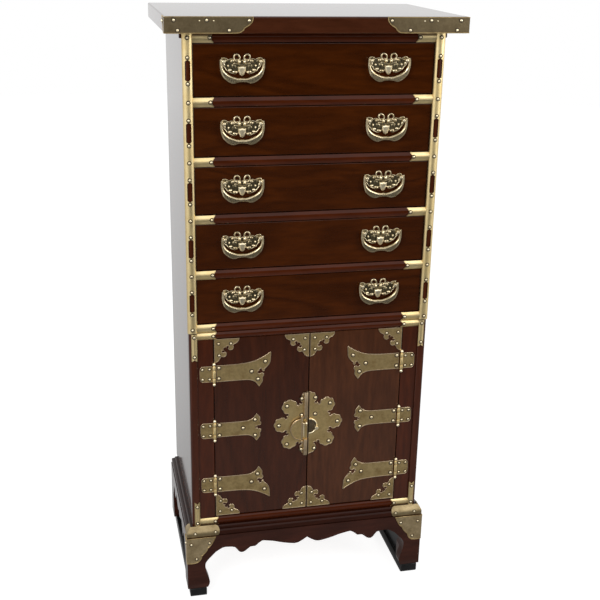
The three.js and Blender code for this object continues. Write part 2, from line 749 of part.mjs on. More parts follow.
function lockRight() {
  const middle = [doorInner + 0.6, doorMiddle - 5];
  const ring = (radius, rise) => rod(
    'y',
    radius,
    [middle[0], lockFace - rise, middle[1]],
    [middle[0], lockFace + 0.5, middle[1]],
    32,
  );
  const wall = cut(ring(CUP_RADIUS, CUP_RISE), ring(CUP_RADIUS - CUP_WALL, CUP_RISE + 1));
  const right = board(doorInner + 0.1, LOCK_RADIUS, lockFace - CUP_RISE - 1, metalBack + 1,
    doorMiddle - LOCK_RADIUS, doorMiddle + LOCK_RADIUS);
  const studX = middle[0] + CUP_RADIUS - CUP_WALL - STUD_RADIUS + 2;
  const studZ = middle[1] - 2;
  const stud = rod('y', STUD_RADIUS, [studX, lockFace - STUD_RISE, studZ], [studX, lockFace + 0.5, studZ]);
  return join(lockPlate(1), wall.intersect(right), stud);
}

// The moon pull is half a disc on an upright rod, and it swings out from the lock plate.
function moonPull() {
  const points = [];
  for (let i = 0; i <= 16; i += 1) {
    const angle = Math.PI / 2 + (i / 16) * Math.PI;
    points.push([moonAxisX + MOON_RADIUS * Math.cos(angle), gapMiddle + MOON_RADIUS * Math.sin(angle)]);
  }
  const disc = alongY(points, moonAxisY - MOON_THICK / 2, moonAxisY + MOON_THICK / 2);
  const reach = MOON_RADIUS + eyeHalf * 2;
  return join(disc, rod(
    'z',
    MOON_ROD_RADIUS,
    [moonAxisX, moonAxisY, gapMiddle - reach],
    [moonAxisX, moonAxisY, gapMiddle + reach],
  ));
}

// The locking pin hangs from the left door's staple by its bent head.
function lockPin() {
  const halfHead = 2.6;
  const x = stapleX - halfHead - HANG_PIN_RADIUS;
  const head = rod('x', HANG_PIN_RADIUS, [x, stapleY, stapleZ], [stapleX + halfHead, stapleY, stapleZ], 12);
  const elbow = ball(HANG_PIN_RADIUS * 1.3, x, stapleY, stapleZ);
  const shank = rod('z', HANG_PIN_RADIUS, [x, stapleY, stapleZ - HANG_PIN_DROP], [x, stapleY, stapleZ], 12);
  return join(head, elbow, shank);
}

addPiece('lock_plate_left', lockLeft(), lockBrass);
addPiece('lock_plate_right', lockRight(), lockBrass);
addPiece('lock_moon_pull', moonPull(), lockBrass);
addPiece('lock_pin', lockPin(), brass);

export default chest;
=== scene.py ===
import math

import bpy
from mathutils import Matrix, Vector


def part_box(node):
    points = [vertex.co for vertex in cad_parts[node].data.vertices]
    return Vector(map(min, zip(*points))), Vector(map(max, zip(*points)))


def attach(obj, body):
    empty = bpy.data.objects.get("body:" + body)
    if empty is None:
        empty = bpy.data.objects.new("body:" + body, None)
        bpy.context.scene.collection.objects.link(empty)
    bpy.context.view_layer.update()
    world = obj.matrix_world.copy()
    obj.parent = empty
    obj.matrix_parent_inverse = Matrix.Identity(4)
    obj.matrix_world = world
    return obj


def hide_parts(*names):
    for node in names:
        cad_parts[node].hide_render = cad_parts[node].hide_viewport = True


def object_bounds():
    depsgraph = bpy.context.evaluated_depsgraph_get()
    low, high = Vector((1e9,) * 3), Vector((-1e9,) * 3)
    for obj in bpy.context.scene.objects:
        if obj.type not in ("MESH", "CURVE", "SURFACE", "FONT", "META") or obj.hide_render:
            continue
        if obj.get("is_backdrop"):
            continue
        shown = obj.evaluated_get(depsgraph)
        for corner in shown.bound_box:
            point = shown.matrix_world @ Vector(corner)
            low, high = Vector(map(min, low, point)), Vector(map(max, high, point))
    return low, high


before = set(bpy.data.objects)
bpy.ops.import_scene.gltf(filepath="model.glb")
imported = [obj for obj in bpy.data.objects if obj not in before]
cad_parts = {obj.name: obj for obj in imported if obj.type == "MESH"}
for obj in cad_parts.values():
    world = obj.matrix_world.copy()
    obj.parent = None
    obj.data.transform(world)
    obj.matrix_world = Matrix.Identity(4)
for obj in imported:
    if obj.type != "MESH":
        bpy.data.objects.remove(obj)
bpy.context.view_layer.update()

# ---- studio ----
# A wide white floor with the chest standing on it alone. Everything beyond it is a plain white surround,
# which the polished sides, the top and the brass show as well.
WHITE = (1, 1, 1, 1)
FLOOR_RADIUS = 6.0
FLOOR_GREY = (0.40, 0.40, 0.40, 1)
FLOOR_SEEN = 0.86
FLOOR_BOUNCE = 0.35
MIRRORED_NEAR = 0.16
MIRRORED_FAR = 0.82
MIRRORED_CURVE = 0.45


def start_piece(name, primitive, **sizes):
    """Starts a piece from a primitive, with everything else deselected."""
    bpy.ops.object.select_all(action="DESELECT")
    primitive(**sizes)
    piece = bpy.context.object
    piece.name = name
    return piece


def new_paint(name):
    paint = bpy.data.materials.new(name)
    paint.use_nodes = True
    return paint, paint.node_tree


def feed(tree, node, sources):
    """Links each named socket of a node to a socket, or to the first output of another node."""
    for socket, source in sources.items():
        tree.links.new(source.outputs[0] if hasattr(source, "outputs") else source, node.inputs[socket])


def lay_node(tree, kind, fixed=None, fed=None, **settings):
    """A node with its own settings, the fixed values of its sockets, and what feeds the others."""
    node = tree.nodes.new(f"ShaderNode{kind}")
    for setting, value in settings.items():
        setattr(node, setting, value)
    for socket, value in (fixed or {}).items():
        node.inputs[socket].default_value = value
    feed(tree, node, fed or {})
    return node


def object_place(tree):
    return lay_node(tree, "TexCoord").outputs["Object"]


def axes(tree, place):
    return lay_node(tree, "SeparateXYZ", fed={"Vector": place}).outputs


floor = start_piece("floor", bpy.ops.mesh.primitive_circle_add, vertices=64, radius=FLOOR_RADIUS,
                    fill_type="NGON")
floor_paint, tree = new_paint("floor_paint")
tree.nodes.clear()
rays = lay_node(tree, "LightPath").outputs
away = lay_node(tree, "MapRange", {"From Max": FLOOR_RADIUS}, {"Value": axes(tree, object_place(tree))["Y"]})
soon = lay_node(tree, "Math", {1: MIRRORED_CURVE}, {0: away}, operation="POWER")
mirrored_glow = lay_node(tree, "MapRange", {"To Min": MIRRORED_NEAR, "To Max": MIRRORED_FAR}, {"Value": soon})
glossy_or_clear = lay_node(tree, "Math", fed={0: rays["Is Glossy Ray"], 1: rays["Is Transmission Ray"]},
                           operation="MAXIMUM")
unseen = lay_node(tree, "MapRange", {"To Min": FLOOR_BOUNCE},
                  {"Value": glossy_or_clear, "To Max": mirrored_glow})
strength = lay_node(tree, "MapRange", {"To Max": FLOOR_SEEN},
                    {"Value": rays["Is Camera Ray"], "To Min": unseen})
glow = lay_node(tree, "Emission", {"Color": WHITE}, {"Strength": strength})
matt = lay_node(tree, "BsdfDiffuse", {"Color": FLOOR_GREY})
both = lay_node(tree, "AddShader", fed={0: matt, 1: glow})
lay_node(tree, "OutputMaterial", fed={"Surface": both})
floor.data.materials.append(floor_paint)
floor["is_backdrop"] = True

# Dark cards lie on the floor and stand in front of the chest, out of the camera's view, as a studio
# sets them to keep white out of polished drawer fronts. Only reflections see them, and the lying one lets
# more and more of the white floor through as it nears the chest.
CARD_BLACK = (0.004, 0.004, 0.004, 1)
THINS_FROM = -1.7
THINS_TO = -0.40
THINNEST = 0.55
CARD_FAR = -5.6
CARD_NEAR = -0.16
CARD_HEIGHT = 1.9
card_cloth, tree = new_paint("card_cloth")
cloth = tree.nodes["Principled BSDF"]
cloth.inputs["Base Color"].default_value = CARD_BLACK
cloth.inputs["Roughness"].default_value = 1.0
thinning = lay_node(tree, "MapRange", {"From Min": THINS_FROM, "From Max": THINS_TO, "To Max": THINNEST},
                    {"Value": axes(tree, object_place(tree))["Y"]}, interpolation_type="SMOOTHSTEP")
mix = lay_node(tree, "MixShader", fed={0: thinning, 1: cloth, 2: lay_node(tree, "BsdfTransparent")})
feed(tree, tree.nodes["Material Output"], {"Surface": mix})
for name, corners in (
        ("dark_card_lying", ((-0.3, CARD_FAR, 0.01), (3.0, CARD_FAR, 0.01),
                             (-0.5, CARD_NEAR, 0.01), (0.7, CARD_NEAR, 0.01))),
        ("dark_card_standing", ((-0.3, CARD_FAR, 0.0), (3.0, CARD_FAR, 0.0),
                                (-0.3, CARD_FAR, CARD_HEIGHT), (3.0, CARD_FAR, CARD_HEIGHT)))):
    card = start_piece(name, bpy.ops.mesh.primitive_plane_add, size=1.0)
    for vertex, corner in zip(card.data.vertices, corners):
        vertex.co = corner
    card.visible_camera = False
    card.visible_shadow = False
    card.visible_diffuse = False
    card.data.materials.append(card_cloth)
    card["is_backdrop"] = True

WORLD_LIGHT = 0.45
world = bpy.data.worlds.new("surround")
bpy.context.scene.world = world
world.use_nodes = True
tree = world.node_tree
tree.nodes.clear()
rays = lay_node(tree, "LightPath").outputs
seen = lay_node(tree, "Background", {"Color": WHITE, "Strength": 1.0})
dim = lay_node(tree, "Background", {"Color": WHITE, "Strength": WORLD_LIGHT})
either = lay_node(tree, "Math", fed={0: rays["Is Camera Ray"], 1: rays["Is Glossy Ray"]}, operation="MAXIMUM")
any_of = lay_node(tree, "Math", fed={0: either, 1: rays["Is Transmission Ray"]}, operation="MAXIMUM")
mix = lay_node(tree, "MixShader", fed={0: any_of, 1: dim, 2: seen})
lay_node(tree, "OutputWorld", fed={"Surface": mix})


def softbox(name, place, aim, width, height, power):
    light = bpy.data.lights.new(name, "AREA")
    light.shape = "RECTANGLE"
    light.size = width
    light.size_y = height
    light.energy = power
    lamp = bpy.data.objects.new(name, light)
    bpy.context.scene.collection.objects.link(lamp)
    lamp.location = place
    lamp.rotation_euler = (Vector(aim) - Vector(place)).to_track_quat("-Z", "Y").to_euler()


softbox("key", (-2.0, -2.6, 2.6), (0, 0, 0.55), 1.6, 1.6, 62)
softbox("fill", (2.4, -2.2, 1.8), (0, 0, 0.5), 1.4, 1.8, 42)

CAMERA_PLACE = (-0.3703148, -1.6668403, 1.1287186)
camera_data = bpy.data.cameras.new("camera")
camera_data.sensor_width = 36
camera_data.lens = 60.30
camera = bpy.data.objects.new("camera", camera_data)
bpy.context.scene.collection.objects.link(camera)
camera_right = Vector((0.97624087, -0.21591531, 0.01828482))
camera_up = Vector((0.05676372, 0.33626071, 0.94005671))
camera_back = -Vector((0.20912111, 0.91668387, -0.3405276))
turn = Matrix((camera_right, camera_up, camera_back)).transposed().to_4x4()
camera.matrix_world = Matrix.Translation(CAMERA_PLACE) @ turn
bpy.context.scene.camera = camera
bpy.context.scene.view_settings.view_transform = "Standard"

# ---- lacquered wood ----
# Stained veneer under clear polished lacquer. The grain runs along one axis of the board, with a slow
# dark figure in it, fine pores, and a faint orange-peel in the lacquer.
MM = 0.001
LACQUER_IOR = 1.47
GRAIN_STRETCH = 0.16
GRAIN_BAND = 0.055
FLAT_FACE_AREA = 60
SIDES = (("left", -1), ("right", 1))


def two_tone(tree, source, low, low_colour, high, high_colour):
    """Runs from one colour to another as its source runs from low to high."""
    tones = lay_node(tree, "ValToRGB", fed={"Fac": source})
    for stop, place, colour in zip(tones.color_ramp.elements, (low, high), (low_colour, high_colour)):
        stop.position = place
        stop.color = (*colour, 1)
    return tones


def lacquered_wood(name, deep, warm, along, figure=0.5, roughness=0.09, sheen=0.5):
    paint, tree = new_paint(name)
    place = object_place(tree)
    scale = [GRAIN_STRETCH if axis == along else 1.0 for axis in "XYZ"]
    stretch = lay_node(tree, "Mapping", {"Scale": scale}, {"Vector": place})
    rings = lay_node(tree, "TexNoise", {"Scale": 9.0, "Detail": 3.0, "Distortion": 0.9}, {"Vector": stretch})
    bands = lay_node(tree, "Math", {1: GRAIN_BAND}, {0: rings}, operation="PINGPONG")
    lines = lay_node(tree, "MapRange", {"From Max": GRAIN_BAND, "To Min": 1.0 - figure}, {"Value": bands},
                     interpolation_type="SMOOTHSTEP")
    fine = lay_node(tree, "TexNoise", {"Scale": 170.0, "Detail": 4.0, "Roughness": 0.65}, {"Vector": stretch})
    streaks = lay_node(tree, "MapRange", {"From Min": 0.30, "From Max": 0.72, "To Min": 0.45},
                       {"Value": fine})
    tone = lay_node(tree, "Math", fed={0: lines, 1: streaks}, operation="MULTIPLY")
    gloss = lay_node(tree, "MapRange", {"To Min": roughness - 0.025, "To Max": roughness + 0.035},
                     {"Value": fine})
    peel = lay_node(tree, "TexNoise", {"Scale": 260.0, "Detail": 1.0}, {"Vector": place})
    bump = lay_node(tree, "Bump", {"Strength": 0.035, "Distance": 0.0004}, {"Height": peel})
    shader = tree.nodes["Principled BSDF"]
    shader.inputs["IOR"].default_value = LACQUER_IOR
    shader.inputs["Specular IOR Level"].default_value = sheen
    feed(tree, shader, {"Base Color": two_tone(tree, tone, 0.08, deep, 0.95, warm), "Roughness": gloss,
                        "Normal": bump})
    return paint


def edit(operator, everything=True, **how):
    """Runs one mesh operator in edit mode, on everything or on the faces that are chosen."""
    bpy.ops.object.mode_set(mode="EDIT")
    bpy.ops.mesh.select_mode(type="FACE")
    if everything:
        bpy.ops.mesh.select_all(action="SELECT")
    operator(**how)
    bpy.ops.object.mode_set(mode="OBJECT")


def smooth_but_flat_faces(piece, angle):
    """Rounds the shading of the narrow faces of an edge, and keeps the large faces flat."""
    bpy.ops.object.shade_smooth_by_angle(angle=math.radians(angle))
    for face in piece.data.polygons:
        if len(face.vertices) > 4 or face.area > FLAT_FACE_AREA * MM * MM:
            face.use_smooth = False


def fit(piece, body, node=None, paint=None, angle=None):
    """Gives a piece its finish, hangs it on the empty of the body it rides on, and hides the CAD node whose
    place it takes.
    """
    if paint:
        piece.data.materials.append(paint)
    if angle:
        bpy.ops.object.shade_smooth_by_angle(angle=math.radians(angle))
    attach(piece, body)
    if node:
        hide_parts(node)
    return piece


def board(name, node, body, material, round_over=0.8, low=None, high=None):
    """A planed board with eased edges, in the place of its CAD node or of a part of it."""
    node_low, node_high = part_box(node)
    low = Vector(node_low if low is None else low)
    high = Vector(node_high if high is None else high)
    piece = start_piece(name, bpy.ops.mesh.primitive_cube_add, size=1)
    piece.data.transform(Matrix.Translation((low + high) / 2) @ Matrix.Diagonal((*(high - low), 1)))
    edit(bpy.ops.mesh.bevel, offset=round_over * MM, segments=3, affect="EDGES")
    smooth_but_flat_faces(piece, 35)
    return fit(piece, body, node, material)


def box_mm(node):
    """The low and high corners of a CAD node's box, in millimetres."""
    return (Vector(corner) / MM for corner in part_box(node))


top_wood = lacquered_wood("top_wood", (0.022, 0.0055, 0.0018), (0.060, 0.0165, 0.0065), "X", 0.35)
side_wood = lacquered_wood("side_wood", (0.022, 0.006, 0.0016), (0.050, 0.014, 0.0040), "Z", 0.4)
rail_wood = lacquered_wood("rail_wood", (0.025, 0.0047, 0.0010), (0.068, 0.0130, 0.0028), "X", 0.3, sheen=0.3)
stile_wood = lacquered_wood("stile_wood", (0.023, 0.0044, 0.0010), (0.062, 0.0124, 0.0028), "Z", 0.3)

# ---- top ----
# One thick polished slab with eased edges, which overhangs the case at its front and both ends. A small
# cornice strip is glued under each end.
SLAB_THICK = 25 * MM
CORNICE_DROP = 9 * MM
CORNICE_OUT = 5 * MM
CORNICE_BACK = 4 * MM
CORNICE_GAP = 0.2 * MM
slab_low, slab_high = (Vector(corner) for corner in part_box("top_slab"))
board("chest_top", "top_slab", "case", top_wood, 2.2,
      low=(slab_low.x, slab_low.y, slab_high.z - SLAB_THICK))
case_low, case_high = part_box("upper_face_frame")
side_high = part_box("side_panel_right")[1]
for name, side in SIDES:
    edges = sorted((side * (side_high[0] + CORNICE_GAP), side * (side_high[0] + CORNICE_OUT)))
    board(f"cornice_strip_{name}", "top_slab", "case", rail_wood, 1.2,
          low=(edges[0], case_low[1] + CORNICE_BACK, slab_high.z - SLAB_THICK - CORNICE_DROP),
          high=(edges[1], side_high[1], slab_high.z - SLAB_THICK))

# ---- case ----
# Two side panels and a back between a front frame of moulded rails and square stiles. The rails are
# rounded across their height, and the frame is in two parts, one round the drawers and one round the doors.
for name in ("left", "right"):
    board(f"case_side_{name}", f"side_panel_{name}", "case", side_wood, 0.6)
back_wood = lacquered_wood("back_wood", (0.020, 0.0065, 0.003), (0.050, 0.018, 0.009), "Z", 0.5, 0.32)
board("case_back", "back_panel", "case", back_wood, 0.5)

STILE_WIDTH = 13.5
RAIL_CROWN = 2.6
case_half = case_high[0] / MM
case_face = case_low[1] / MM
frame_back = case_high[1] / MM
opening_half = case_half - STILE_WIDTH

RAIL_STEPS = 16
CORNER_STEPS = 6
CORNER_ROUND = 4

PLANES = {"X": (1, 2, 0), "Y": (0, 2, 1), "Z": (0, 1, 2)}


def prism(name, section, axis, start, end):
    """A closed bar along an axis, in millimetres. Its end face at `end` stays selected for more shaping."""
    piece = start_piece(name, bpy.ops.mesh.primitive_circle_add, vertices=len(section), radius=1,
                        fill_type="NGON")
    across, up, along = PLANES[axis]
    for vertex, (a, b) in zip(piece.data.vertices, section):
        vertex.co[across] = a * MM
        vertex.co[up] = b * MM
        vertex.co[along] = start * MM
    piece.data.update()
    reach = [0, 0, 0]
    reach[along] = (end - start) * MM
    edit(bpy.ops.mesh.extrude_region_move, TRANSFORM_OT_translate={"value": reach})
    cap = [face.select for face in piece.data.polygons]
    edit(bpy.ops.mesh.normals_make_consistent, inside=False)
    for face, chosen in zip(piece.data.polygons, cap):
        face.select = chosen
    return piece


def moulded_rail(name, bottom, top, node):
    section = [(frame_back, top), (frame_back, bottom)]
    for step in range(RAIL_STEPS + 1):
        across = 2 * step / RAIL_STEPS - 1
        section.append((case_face + 0.4 + RAIL_CROWN * across * across,
                        bottom + (top - bottom) * step / RAIL_STEPS))
    rail = prism(name, section, "X", -opening_half, opening_half)
    fit(rail, "case", node, rail_wood, 35)


def corner_stile(name, side, bottom, top, node):
    section = [(side * opening_half, frame_back), (side * case_half, frame_back)]
    for step in range(CORNER_STEPS + 1):
        turn = step / CORNER_STEPS * math.pi / 2
        section.append((side * (case_half - CORNER_ROUND * (1 - math.cos(turn))),
                        case_face + CORNER_ROUND * (1 - math.sin(turn))))
    section += [(side * (opening_half + 0.8), case_face), (side * opening_half, case_face + 0.8)]
    stile = prism(name, section, "Z", bottom, top)
    fit(stile, "case", node, stile_wood, 35)


FRONT_GAP = 1.4
RAIL_HEIGHT = 14
HEAD_RAIL = 11.1
SILL_RAIL = 14
DRAWERS = range(1, 6)
drawer_boxes = [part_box(f"drawer_{number}_front") for number in DRAWERS]
drawer_tops = [high[2] / MM + FRONT_GAP for low, high in drawer_boxes]
drawer_bottoms = [low[2] / MM - FRONT_GAP for low, high in drawer_boxes]
frame_top = case_high[2] / MM
frame_bottom = case_low[2] / MM
rail_places = [("top", drawer_tops[0], frame_top)]
for number, bottom in zip(DRAWERS, drawer_bottoms):
    rail_places.append((f"under_drawer_{number}", bottom - RAIL_HEIGHT, bottom))
for name, bottom, top in rail_places:
    moulded_rail(f"rail_{name}", bottom, top, "upper_face_frame")

lower_low, lower_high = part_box("lower_face_frame")
lower_bottom = lower_low[2] / MM
lower_top = lower_high[2] / MM
moulded_rail("rail_over_doors", lower_top - HEAD_RAIL, lower_top, "lower_face_frame")
moulded_rail("rail_under_doors", lower_bottom, lower_bottom + SILL_RAIL, "lower_face_frame")
door_low, door_high = box_mm("door_right")
for name, side in SIDES:
    corner_stile(f"stile_upper_{name}", side, frame_bottom, frame_top, "upper_face_frame")
    corner_stile(f"stile_lower_{name}", side, lower_bottom, lower_top, "lower_face_frame")
    edges = sorted((side * opening_half * MM, side * (door_high.x + FRONT_GAP) * MM))
    board(f"door_jamb_{name}", "lower_face_frame", "case", stile_wood, 0.4,
          low=(edges[0], door_low.y * MM, (lower_bottom + SILL_RAIL) * MM),
          high=(edges[1], frame_back * MM, (lower_top - HEAD_RAIL) * MM))

PLAIN_DEEP = (0.20, 0.095, 0.042)
PLAIN_PALE = (0.36, 0.19, 0.09)


def plain_wood(name):
    """Sanded wood without lacquer, as the drawer boxes and the insides are."""
    paint, tree = new_paint(name)
    stretch = lay_node(tree, "Mapping", {"Scale": (12, 90, 90)}, {"Vector": object_place(tree)})
    grain = lay_node(tree, "TexNoise", {"Scale": 1.0, "Detail": 5.0}, {"Vector": stretch})
    bump = lay_node(tree, "Bump", {"Strength": 0.2, "Distance": 0.0005}, {"Height": grain})
    shader = tree.nodes["Principled BSDF"]
    shader.inputs["Roughness"].default_value = 0.62
    feed(tree, shader, {"Base Color": two_tone(tree, grain, 0.3, PLAIN_DEEP, 0.7, PLAIN_PALE),
                        "Normal": bump})
    return paint


def repaint(node, material):
    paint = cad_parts[node].data.materials
    paint.clear()
    paint.append(material)


inside_wood = plain_wood("inside_wood")
for node in ("cupboard_floor", "drawer_rack"):
    repaint(node, inside_wood)

# ---- base ----
# A moulding frames the foot of the case. Under it stands the leg frame, its aprons sawn in scrolls, on two
# black runners that lie on the floor.
base_wood = lacquered_wood("base_wood", (0.011, 0.0024, 0.0009), (0.031, 0.0066, 0.0024), "X", 0.3,
                           sheen=0.22)
leg_wood = lacquered_wood("leg_wood", (0.016, 0.0044, 0.0024), (0.045, 0.0122, 0.0068), "X", 0.4, 0.13, 0.3)
black_wood = lacquered_wood("black_wood", (0.004, 0.004, 0.004), (0.010, 0.010, 0.010), "Y", 0.3, 0.2, 0.2)
repaint("base_moulding", base_wood)
repaint("leg_frame", leg_wood)
for name in ("left", "right"):
    runner_low, runner_high = box_mm(f"floor_runner_{name}")
    front, back, top = runner_low.y, runner_high.y, runner_high.z
    section = [(front + 6, 0), (back - 6, 0), (back - 2, 2), (back, 6), (back, top - 1), (back - 1, top),
               (front + 1, top), (front, top - 1), (front, 6), (front + 2, 2)]
    runner = prism(f"runner_{name}", section, "X", runner_low.x, runner_high.x)
    edit(bpy.ops.mesh.bevel, offset=0.7 * MM, segments=2, affect="EDGES")
    fit(runner, "case", f"floor_runner_{name}", black_wood, 35)

# ---- drawers ----
# Each drawer has a lacquered front on a plain box lined with dark red felt.
BOX_WALL = 8.8 * MM
FELT_SHADE = (0.10, 0.006, 0.010)
FELT_RED = (0.22, 0.016, 0.022)


def lined_box(name):
    """Plain wood whose inside, between the walls, is covered with felt."""
    paint = plain_wood(name)
    tree = paint.node_tree
    place = object_place(tree)
    nap = lay_node(tree, "TexNoise", {"Scale": 900.0}, {"Vector": place})
    felt = lay_node(tree, "BsdfPrincipled", {"Roughness": 0.95, "Sheen Weight": 0.4},
                    {"Base Color": two_tone(tree, nap, 0.0, FELT_SHADE, 1.0, FELT_RED)})
    parts = axes(tree, place)
    box_low, box_high = (Vector(corner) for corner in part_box("drawer_1_box"))
    inside = []
    for axis, middle, half in (("X", 0.0, box_high.x - BOX_WALL),
                               ("Y", (box_low.y + box_high.y) / 2, (box_high.y - box_low.y) / 2 - BOX_WALL)):
        offset = lay_node(tree, "Math", {1: middle}, {0: parts[axis]}, operation="SUBTRACT")
        size = lay_node(tree, "Math", fed={0: offset}, operation="ABSOLUTE")
        inside.append(lay_node(tree, "Math", {1: half}, {0: size}, operation="LESS_THAN"))
    both = lay_node(tree, "Math", fed=dict(enumerate(inside)), operation="MULTIPLY")
    mix = lay_node(tree, "MixShader", fed={0: both, 1: tree.nodes["Principled BSDF"], 2: felt})
    feed(tree, tree.nodes["Material Output"], {"Surface": mix})
    return paint


drawer_wood = lacquered_wood("drawer_wood", (0.021, 0.0043, 0.0005), (0.053, 0.0114, 0.0010), "X", 0.5)
box_wood = lined_box("box_wood")
for number in DRAWERS:
    board(f"drawer_{number}_face", f"drawer_{number}_front", f"drawer_{number}", drawer_wood,
          0.9)
    repaint(f"drawer_{number}_box", box_wood)

# ---- doors ----
# Two flat veneered doors, the grain of each running up and down, that meet in the middle.
for name, deep, warm in (("left", (0.019, 0.0046, 0.0014), (0.047, 0.0112, 0.0036)),
                         ("right", (0.027, 0.0080, 0.0026), (0.070, 0.0215, 0.0072))):
    veneer = lacquered_wood(f"door_wood_{name}", deep, warm, "Z", 0.36)
    board(f"door_board_{name}", f"door_{name}", f"door_{name}", veneer, 0.9)

# ---- brass and its rivets ----
# The mounts are cut from brass sheet and left to darken, so their fields are olive brown and mottled and
# their rubbed rims are lighter. Round-headed rivets hold them, each on a dark ring in the corner round its
# head.


def brass(name, rubbed, tarnish, roughness, patches=55.0, metallic=1.0, dents=0.25):
    paint, tree = new_paint(name)
    place = object_place(tree)
    patch = lay_node(tree, "TexNoise", {"Scale": patches, "Detail": 6.0, "Roughness": 0.7}, {"Vector": place})
    dull = lay_node(tree, "MapRange", {"From Min": 0.3, "From Max": 0.7, "To Min": roughness + 0.10,
                                       "To Max": roughness - 0.06}, {"Value": patch})
    hammer = lay_node(tree, "TexNoise", {"Scale": 420.0, "Detail": 3.0}, {"Vector": place})
    bump = lay_node(tree, "Bump", {"Strength": dents, "Distance": 0.0005}, {"Height": hammer})
    shader = tree.nodes["Principled BSDF"]
    shader.inputs["Metallic"].default_value = metallic
    feed(tree, shader, {"Base Color": two_tone(tree, patch, 0.36, tarnish, 0.64, rubbed), "Roughness": dull,
                        "Normal": bump})
    return paint


rubbed_brass = brass("rubbed_brass", (0.66, 0.52, 0.34), (0.44, 0.32, 0.19), 0.34)
aged_brass = brass("aged_brass", (0.62, 0.465, 0.22), (0.35, 0.245, 0.105), 0.43)
worn_brass = brass("worn_brass", (0.64, 0.50, 0.29), (0.38, 0.285, 0.155), 0.42)
dark_brass = brass("dark_brass", (0.235, 0.18, 0.10), (0.12, 0.089, 0.048), 0.40, 60.0)
bright_brass = brass("bright_brass", (0.95, 0.85, 0.62), (0.84, 0.70, 0.44), 0.34, 120.0, dents=0.06)
sleeve_brass = brass("sleeve_brass", (1.0, 0.81, 0.44), (0.80, 0.615, 0.29), 0.37, 35.0, dents=0.05)
# Near-black brass: the dark ring round each rivet head, and painted shade on the floor of the lock cup.
dark_seat_and_cup_shade = brass("dark_seat_and_cup_shade", (0.09, 0.062, 0.028), (0.03, 0.021, 0.010), 0.6, 200.0, 0.3)

PLATE = 1.0
RIVET_RADIUS = 2.2
RIVET_SEAT = 3.7
SEAT_DEPTH = 0.5
DOME = ((0.75, 0.93), (0.55, 0.80), (0.30, 0.55))


def choose(piece, wanted):
    """Chooses the faces for which wanted(face) holds, and no others."""
    edit(bpy.ops.mesh.select_all, everything=False, action="DESELECT")
    for face in piece.data.polygons:
        face.select = wanted(face)


rivet = start_piece("rivet", bpy.ops.mesh.primitive_cylinder_add, vertices=14, radius=RIVET_SEAT * MM,
                    depth=SEAT_DEPTH * MM, rotation=(math.pi / 2, 0, 0))
bpy.ops.object.transform_apply(location=False, rotation=True, scale=False)
rivet.data.materials.append(bright_brass)
rivet.data.materials.append(dark_seat_and_cup_shade)
for face in rivet.data.polygons:
    face.material_index = 1
choose(rivet, lambda face: face.center.y < -(SEAT_DEPTH / 2 - 0.01) * MM)
bpy.ops.object.mode_set(mode="EDIT")
bpy.ops.mesh.inset(thickness=0.01 * MM)
bpy.ops.transform.resize(value=(RIVET_RADIUS / RIVET_SEAT, 1, RIVET_RADIUS / RIVET_SEAT))
for rise, size in DOME:
    bpy.ops.mesh.extrude_region_move(TRANSFORM_OT_translate={"value": (0, -rise * MM, 0)})
    bpy.ops.transform.resize(value=(size, 1, size))
bpy.ops.object.mode_set(mode="OBJECT")
for face in rivet.data.polygons:
    if face.center.y < -(SEAT_DEPTH / 2 + 0.01) * MM:
        face.material_index = 0
bpy.ops.object.shade_smooth_by_angle(angle=math.radians(50))
rivet_head = rivet.data.copy()
bpy.data.objects.remove(rivet)


def rivets(name, places, body, size=1.0):
    """Rivets in one group. A place is x, y, z in millimetres, and a fourth value is the side it faces."""
    bpy.ops.object.select_all(action="DESELECT")
    for place in places:
        head = bpy.data.objects.new(name, rivet_head.copy())
        bpy.context.scene.collection.objects.link(head)
        facing = place[3] if len(place) > 3 else 0
        head.data.transform(Matrix.Translation(Vector(place[:3]) * MM)
                            @ Matrix.Rotation(facing * math.pi / 2, 4, "Z") @ Matrix.Scale(size, 4))
        head.select_set(True)
        bpy.context.view_layer.objects.active = head
    bpy.ops.object.join()
    group = bpy.context.object
    group.name = name
    fit(group, body)


def arc(centre, radius, start, end, steps):
    """Points round a centre, from one angle to another in degrees."""
    turns = [math.radians(start + (end - start) * step / steps) for step in range(steps + 1)]
    return [(centre[0] + radius * math.cos(turn), centre[1] + radius * math.sin(turn)) for turn in turns]


def flowing(points, steps=4):
    """A smooth line through the points."""
    line = []
    padded = [points[0], *points, points[-1]]
    for before, start, end, after in zip(padded, padded[1:], padded[2:], padded[3:]):
        for step in range(steps):
            t = step / steps
            line.append(tuple(0.5 * (2 * p1 + (p2 - p0) * t + (2 * p0 - 5 * p1 + 4 * p2 - p3) * t * t
                                     + (3 * p1 - p0 - 3 * p2 + p3) * t ** 3)
                              for p0, p1, p2, p3 in zip(before, start, end, after)))
    return [*line, points[-1]]


def turned(points, side, up, place=(0, 0)):
    """An outline flipped left to right or top to bottom and moved to its place."""
    return [(place[0] + side * a, place[1] + up * b) for a, b in points]


def clean(points, least=0.12):
    kept = []
    for point in points:
        if not kept or math.dist(point, kept[-1]) > least:
            kept.append(point)
    return kept if math.dist(kept[0], kept[-1]) > least else kept[:-1]


